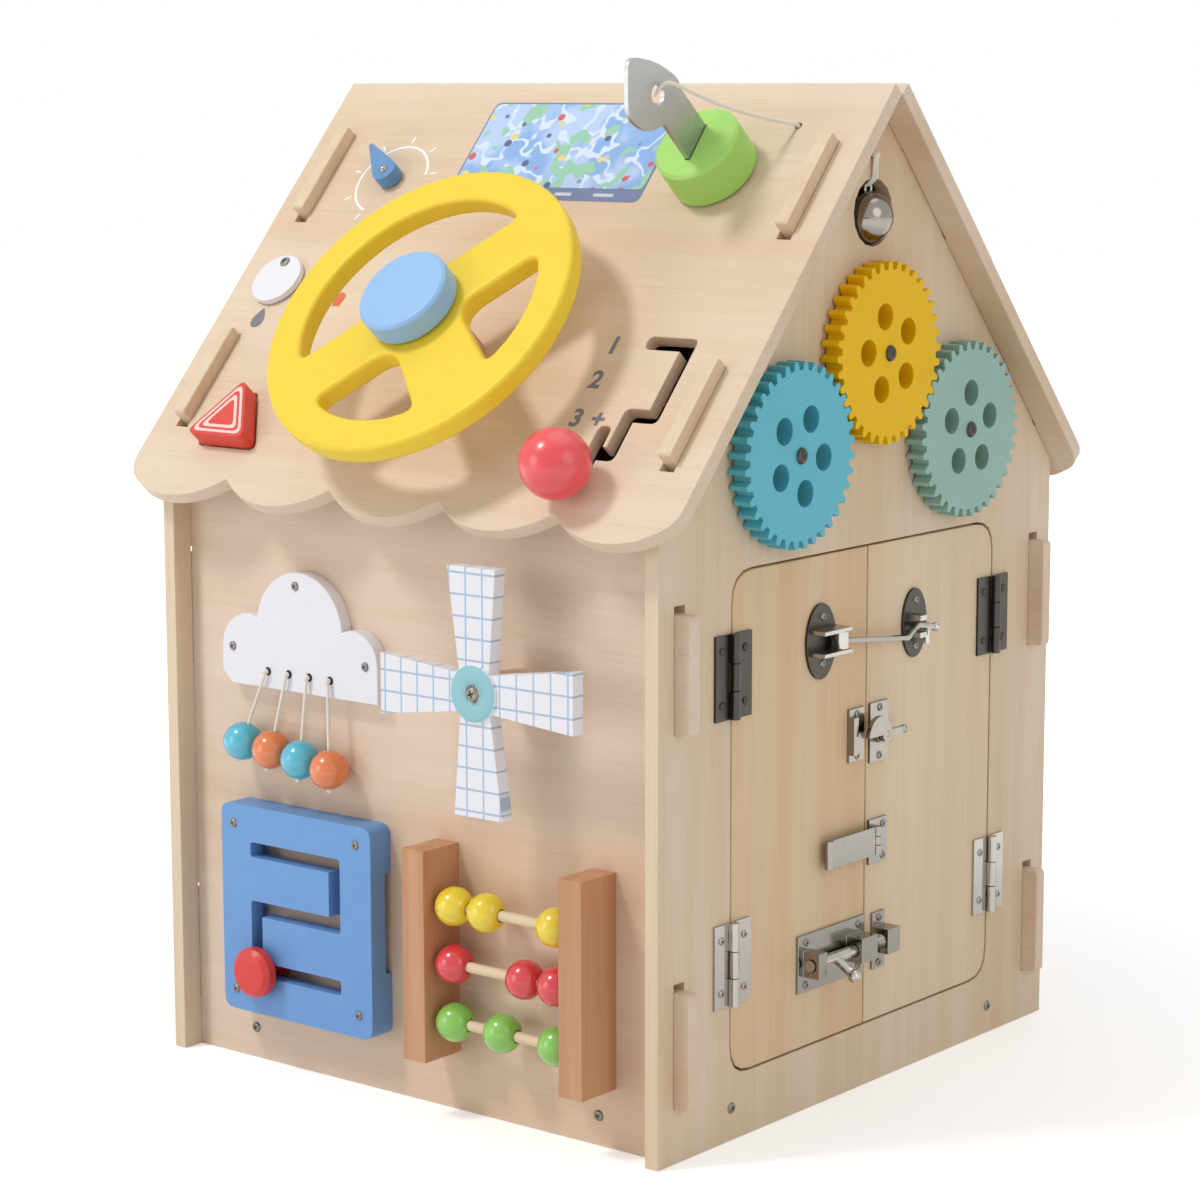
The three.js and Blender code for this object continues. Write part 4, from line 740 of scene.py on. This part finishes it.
# The slits are dark bands laid over the ball: painted shade of the slits
band("bell_painted_slit_shade", *slit, SLIT_LIFT, SLIT_SPAN, 0, "bell", "hole")
band("bell_painted_cross_slit_shade", *slit, CROSS_LIFT, SLIT_SPAN, math.pi / 2, "bell", "hole")
lathe("bell_seam", SIDE, SEAM, "bell", "steel", 44, BELL, BELL_UP, closed=True)
round_eye = np.linspace(0, 2 * np.pi, 25)[:, None]
eye_middle = BELL + (0, BELL_RADIUS + EYE_WIRE, 0)
eye_ring = eye_middle + EYE * (np.cos(round_eye) * (1, 0, 0) + np.sin(round_eye) * (0, 1, 0))
tube("bell_eye", SIDE, eye_ring, EYE_WIRE, "bell", "steel", slot="nickel")
for hand in (-1, 1):
    apart = hand * STRAND_APART
    strand = [
        HOLE_TOP + (hand * STRAND, 0, 0),
        HOLE_LIP + (apart, 0, 0),
        eye_middle + (apart, EYE / 2, 0),
    ]
    tube("bell_strand_%d" % (hand + 1), SIDE, strand, STRAND, "bell", "cord", slot="cord")
ball("bell_knot", SIDE, HOLE_TOP, BELL_KNOT, "bell", "cord", slot="cord")

# Shift lever: a turned ball over its stem, and the washer under the roof
SHIFT, SHIFT_BALL, SHIFT_RISE = (103.0, -228.5), 15.9, 17.3
STEM, STEM_FOOT, STEM_TOP = 2.6, -PLY - 2.9, 4
WASHER, WASHER_FOOT, WASHER_TOP = 6, -PLY - 1.9, -PLY - 0.3
facts = {"replaces": ("shift_lever",), "slot": "red"}
ball("shift_ball", ROOF, (*SHIFT, SHIFT_RISE), SHIFT_BALL, "shift_lever", "red", **facts)
stem = [(*SHIFT, rise) for rise in (STEM_FOOT, 0, STEM_TOP)]
tube("shift_stem", ROOF, stem, STEM, "shift_lever", "steel")
washer = [(0, WASHER_FOOT), (WASHER, WASHER_FOOT), (WASHER, WASHER_TOP), (0, WASHER_TOP)]
lathe("shift_washer", ROOF, washer, "shift_lever", "steel", 36, (*SHIFT, 0))

# Steering wheel: its place on the roof and its turn in degrees; the radii of its rim, bore and hub;
# half the widths of its bar and spoke, how much the spoke widens, the fillets, the rounded edge
WHEEL, WHEEL_TURN, WHEEL_BACK, WHEEL_FACE = (2.7, -167.0), 46.5, 29.5, 40.0
OUTER, INNER, BORE, HUB = 79.6, 62.0, 5.06, 27.0
BAR, SPOKE, FLARE, FILLET, WHEEL_EDGE = 15.0, 17.0, 2.0, 6.0, 2.4


def opening(corners, start, end):
    """The rim's inner arc, from start to end in degrees, and other corners, all with fillets."""
    skip = math.degrees(2 * FILLET / INNER)
    first, last = arc(0, 0, INNER, start, end, 1)
    curved = arc(0, 0, INNER, start + skip, end - skip, round((end - start) / 2.5))
    fillets = [FILLET, *[0] * len(curved), FILLET, *[FILLET] * len(corners)]
    return rounded([first, *curved, last, *corners], fillets)


def wheel_openings():
    """One opening over the bar, and two beside the spoke with corners at the hub."""
    bar_angle = math.degrees(math.asin(BAR / INNER))
    spoke_angle = math.degrees(math.acos((SPOKE + FLARE) / INNER))
    at_bar = (math.sqrt(HUB**2 - BAR**2), -BAR)
    at_spoke = (SPOKE, -math.sqrt(HUB**2 - SPOKE**2))
    beside = opening([at_bar, at_spoke], -spoke_angle, -bar_angle)
    return opening([], bar_angle, 180 - bar_angle), beside, [(-x, y) for x, y in beside]


outlines = [circle(0, 0, OUTER, 120), circle(0, 0, BORE, 24), *wheel_openings()]
thick = WHEEL_FACE - WHEEL_BACK - 2 * WHEEL_EDGE
curve = outline_curve("steering_wheel_look", thick, outlines)
curve.bevel_depth, curve.offset, curve.bevel_resolution = WHEEL_EDGE, -WHEEL_EDGE, 3
spin = Matrix.Rotation(math.radians(WHEEL_TURN), 4, "Z")
lifted = Matrix.Translation((*WHEEL, (WHEEL_BACK + WHEEL_FACE) / 2))
mesh = softened(flat_mesh(curve, ROOF @ (lifted @ spin)), 0)
settle("steering_wheel_look", mesh, "wheel", "yellow", 0, ("steering_wheel",), "yellow")

# The windmill's cyan hub, a disc with a step round its middle, and the screws of hub and gears
MILL_FACE, MILL_BACK, MILL_STEP = 33.2, 32.4, 0.12
MILL_PROFILE = [
    (0, MILL_FACE),
    (4.2, MILL_FACE),
    (4.4, MILL_FACE + MILL_STEP),
    (12.4, MILL_FACE + MILL_STEP),
    (12.6, MILL_FACE),
    (12.6, MILL_BACK),
    (0, MILL_BACK),
]
lathe("windmill_hub", FRONT, MILL_PROFILE, "windmill_sails", "hub", 48, (*WINDMILL, 0))
screw(FRONT, *WINDMILL, MILL_FACE + 0.1, "windmill_sails", 3.6)
for node in ("gear_yellow", "gear_cyan", "gear_sage"):
    y, z, face = seat(node, SIDE)
    screw(SIDE, y, z, face + 0.2, "house", 3.8, "dark", 35)

# Screws on the sides: the boards', the cloud's, the maze's, the hinges' and the latches'
BOARD_SCREWS, BOARD_HEAD = ((-105, 15.2), (108, 13.9)), 2.6
CLOUD_SCREWS = ((-67.4, 236), (-109, 203.5), (-23.6, 202.8))
MAZE_SCREWS = ((-104, 119.5), (-24.9, 120), (-24, 38.8), (-104, 38))
MAZE_FACE, PANEL_HEAD, PLATE_HEAD = 14, 2.2, 1.9
HINGE_LINE, HINGE_MIDDLES, HINGE_RISE = 106.5, ((211.5, "dark"), (82, "steel")), 12
FRAME_WAY, DOOR_WAY, LEAF_FACE, PLATE_FACE = 7.8, 9, 1.2, 1.4
HOOK_SCREWS = {
    "left_door": ((-38.7, 229.2), (-38.7, 207.8)),
    "right_door": ((37.5, 227.4), (37.5, 205.5)),
}
SASH_SCREWS = {
    "left_door": ((-10.5, 180), (-10.5, 160.5)),
    "right_door": ((8, 180.5), (8, 157.7)),
}
FLIP_SCREWS = {"left_door": (), "right_door": ((11.5, 124.5), (11.5, 109.5))}
BOLT_SCREWS = {
    "left_door": ((-50, 60), (-50, 80), (-8, 60), (-8, 80)),
    "right_door": ((9.2, 79.7), (9.2, 58)),
}
for x, z in BOARD_SCREWS:
    for place in (FRONT, BACK, SIDE, FAR):
        screw(place, x, z, 0, "house", BOARD_HEAD)
for x, z in CLOUD_SCREWS:
    screw(FRONT, x, z, PLY, "house", PANEL_HEAD, turn=50)
for x, z in MAZE_SCREWS:
    screw(FRONT, x, z, MAZE_FACE, "house", PANEL_HEAD)
for hand, door in ((-1, "left_door"), (1, "right_door")):
    for middle, look in HINGE_MIDDLES:
        for rise in (-HINGE_RISE, HINGE_RISE):
            for y, body in ((HINGE_LINE + FRAME_WAY, "house"), (HINGE_LINE - DOOR_WAY, door)):
                screw(SIDE, hand * y, middle + rise, LEAF_FACE, body, PLATE_HEAD, look)
for door in ("left_door", "right_door"):
    for latch in (HOOK_SCREWS, SASH_SCREWS, FLIP_SCREWS, BOLT_SCREWS):
        for y, z in latch[door]:
            screw(SIDE, y, z, PLATE_FACE, door, PLATE_HEAD)

# Prints on the roof, by x and the way down from the ridge: digits, the dial's arc and ticks
DIGITS, DIGIT_TALL = (("1", 85, 153), ("2", 85, 172), ("3", 85, 193), ("+", 97, 193)), 13
DIAL, DIAL_RING, RING_HALF = (-102.0, -62.0), 20.5, 0.65
DIAL_FROM, DIAL_TO, TICK_EVERY = 10, 250, 40
TICK = ((23, 0.5), (27, 0.5), (27, -0.5), (23, -0.5))
for k, (text, x, down) in enumerate(DIGITS):
    number("number_%d" % k, ROOF, text, x, -down, DIGIT_TALL, "house", "ink")
ring = arc(*DIAL, DIAL_RING + RING_HALF, DIAL_FROM, DIAL_TO, 28)
ring += arc(*DIAL, DIAL_RING - RING_HALF, DIAL_TO, DIAL_FROM, 28)
sheet("dial_arc", ROOF, ring, 0, PRINT, "house", "print")
for k, angle in enumerate(range(DIAL_FROM, DIAL_TO + 1, TICK_EVERY)):
    c, s = math.cos(math.radians(angle)), math.sin(math.radians(angle))
    tick = [(DIAL[0] + (r * c - w * s), DIAL[1] + (r * s + w * c)) for r, w in TICK]
    sheet("dial_tick_%d" % k, ROOF, tick, 0, PRINT, "house", "print")

# The pointer's pin, the swing cover's screw, and the marks below the cover and beside the wheel
PIN_AT, PIN = (*DIAL, 7.4), 2.2
COVER_SCREW, COVER_HEAD = (-136.4, -118, 3.6), 2.8
DROP = [(-137, -143), (-141, -150), (-140.5, -154), (-137, -156), (-133.5, -154), (-133, -150)]
LAMP_TOP, LAMP_FOOT = (-92, -135, 3.2), [(-94.2, -140), (-89.8, -140)]
ball("dial_pin", ROOF, PIN_AT, PIN, "house", "steel")
screw(ROOF, *COVER_SCREW, "house", COVER_HEAD)
sheet("drop_mark", ROOF, rounded(DROP, 2), 0, PRINT, "house", "ink")
lamp_mark = arc(*LAMP_TOP, 0, 180, 12) + LAMP_FOOT
sheet("lamp_mark", ROOF, lamp_mark, 0, PRINT, "house", "orange_ink")

# The chart: a slate rim, its field, and short marks that grow along the rim's lower strip
LEFT, RIGHT, NEAR, TOP, STRIP, RIM = -61.5, 56, -72, -12.6, 7.5, 1
MARKS, MARK_LOW, MARK_HIGH = (-48, -36, -14, 10, 34), 2.7, 4.6
sheet("map_rim", ROOF, block(LEFT, RIGHT, NEAR, TOP, 4), 0, PRINT, "house", "slate")
field = block(LEFT + RIM, RIGHT - RIM, NEAR + STRIP, TOP - RIM, 3.4)
sheet("map_field", ROOF, field, PRINT, 2 * PRINT, "house", "chart")
for k, x in enumerate(MARKS):
    mark = block(x - 2 - k, x + 2 + k, NEAR + MARK_LOW, NEAR + MARK_HIGH, 0.9)
    sheet("map_mark_%d" % k, ROOF, mark, PRINT, 2 * PRINT, "house", "pale_ink")

# The hazard button's pale lines: how far in each begins and ends, and its corners' radii
HAZARD, HAZARD_SIDE, HAZARD_TOP = (-111.3, -208.5), 38.5, 9.7
HAZARD_LINES = ((1.5, 2.9, 5.2, 4.6), (4.3, 5.9, 3.8, 3.2))


def triangle(inset, radius):
    """The button's upright triangle, drawn in evenly by an inset."""
    x, middle = HAZARD
    high = HAZARD_SIDE * math.sqrt(3) / 2
    base = middle - high / 2
    centre = base + high / 3
    share = 1 - inset / (high / 3)
    corners = ((-HAZARD_SIDE / 2, base), (HAZARD_SIDE / 2, base), (0, base + high))
    return rounded([(x + cx * share, centre + (cy - centre) * share) for cx, cy in corners], radius)


for k, (outer, inner, outer_radius, inner_radius) in enumerate(HAZARD_LINES):
    outline, hole = triangle(outer, outer_radius), triangle(inner, inner_radius)
    facts = {"body": "hazard_button", "look": "rosy_print", "holes": (hole,)}
    sheet("hazard_line_%d" % k, ROOF, outline, HAZARD_TOP, HAZARD_TOP + PRINT, **facts)

# Floor: pale, with its shadow, and brighter away from the object where the camera looks
REACH = 6.0
corners = [(-REACH, -REACH, 0), (REACH, -REACH, 0), (REACH, REACH, 0), (-REACH, REACH, 0)]
floor = bpy.data.meshes.new("floor")
floor.from_pydata(corners, [], [(0, 1, 2, 3)])
ground = bpy.data.objects.new("floor", floor)
bpy.context.scene.collection.objects.link(ground)
skin = Skin("pale_floor", "floor")
floor.materials.append(skin.owner)
distance = skin.node("VectorMath", {0: skin.place()}, out="Value", operation="LENGTH")
glow = skin.in_view() * (distance.step(0.25, 0.95) * 0.64 + 0.36)
tint = skin.node("CombineColor", {0: glow, 1: glow, 2: glow})
skin.set(Base_Color=(0.88, 0.88, 0.88), Roughness=0.7, Emission_Color=tint, Emission_Strength=1.0)

# Lamps: place, aim, watts and diameter
LAMPS = {
    "key_light": ((-0.9, -1.5, 2.4), (0, 0, 0.25), 29, 0.5),
    "front_light": ((-1.2, -2.2, 0.7), (0, 0, 0.25), 9, 1.2),
    "side_light": ((2.6, -0.4, 1.3), (0, 0, 0.25), 11, 1.8),
    "top_light": ((0.2, 0.3, 2.6), (0, 0, 0.3), 11, 2.2),
}
for name, (place, aim, power, size) in LAMPS.items():
    data = bpy.data.lights.new(name, "AREA")
    data.shape = "DISK"
    data.size = size
    data.energy = power
    light = bpy.data.objects.new(name, data)
    bpy.context.scene.collection.objects.link(light)
    light.location = place
    light.rotation_mode = "QUATERNION"
    light.rotation_quaternion = (Vector(aim) - Vector(place)).to_track_quat("-Z", "Y")

# Air: white where the camera looks, plain light for the object
air = bpy.data.worlds.new("air")
bpy.context.scene.world = air
sky = Net(air)
background = next(n for n in sky.tree.nodes if n.type == "BACKGROUND")
sky.feed(background.inputs["Color"], (1.0, 1.0, 1.0))
sky.feed(background.inputs["Strength"], sky.in_view() * 0.55 + 0.45)
bpy.context.scene.view_settings.view_transform = "Standard"
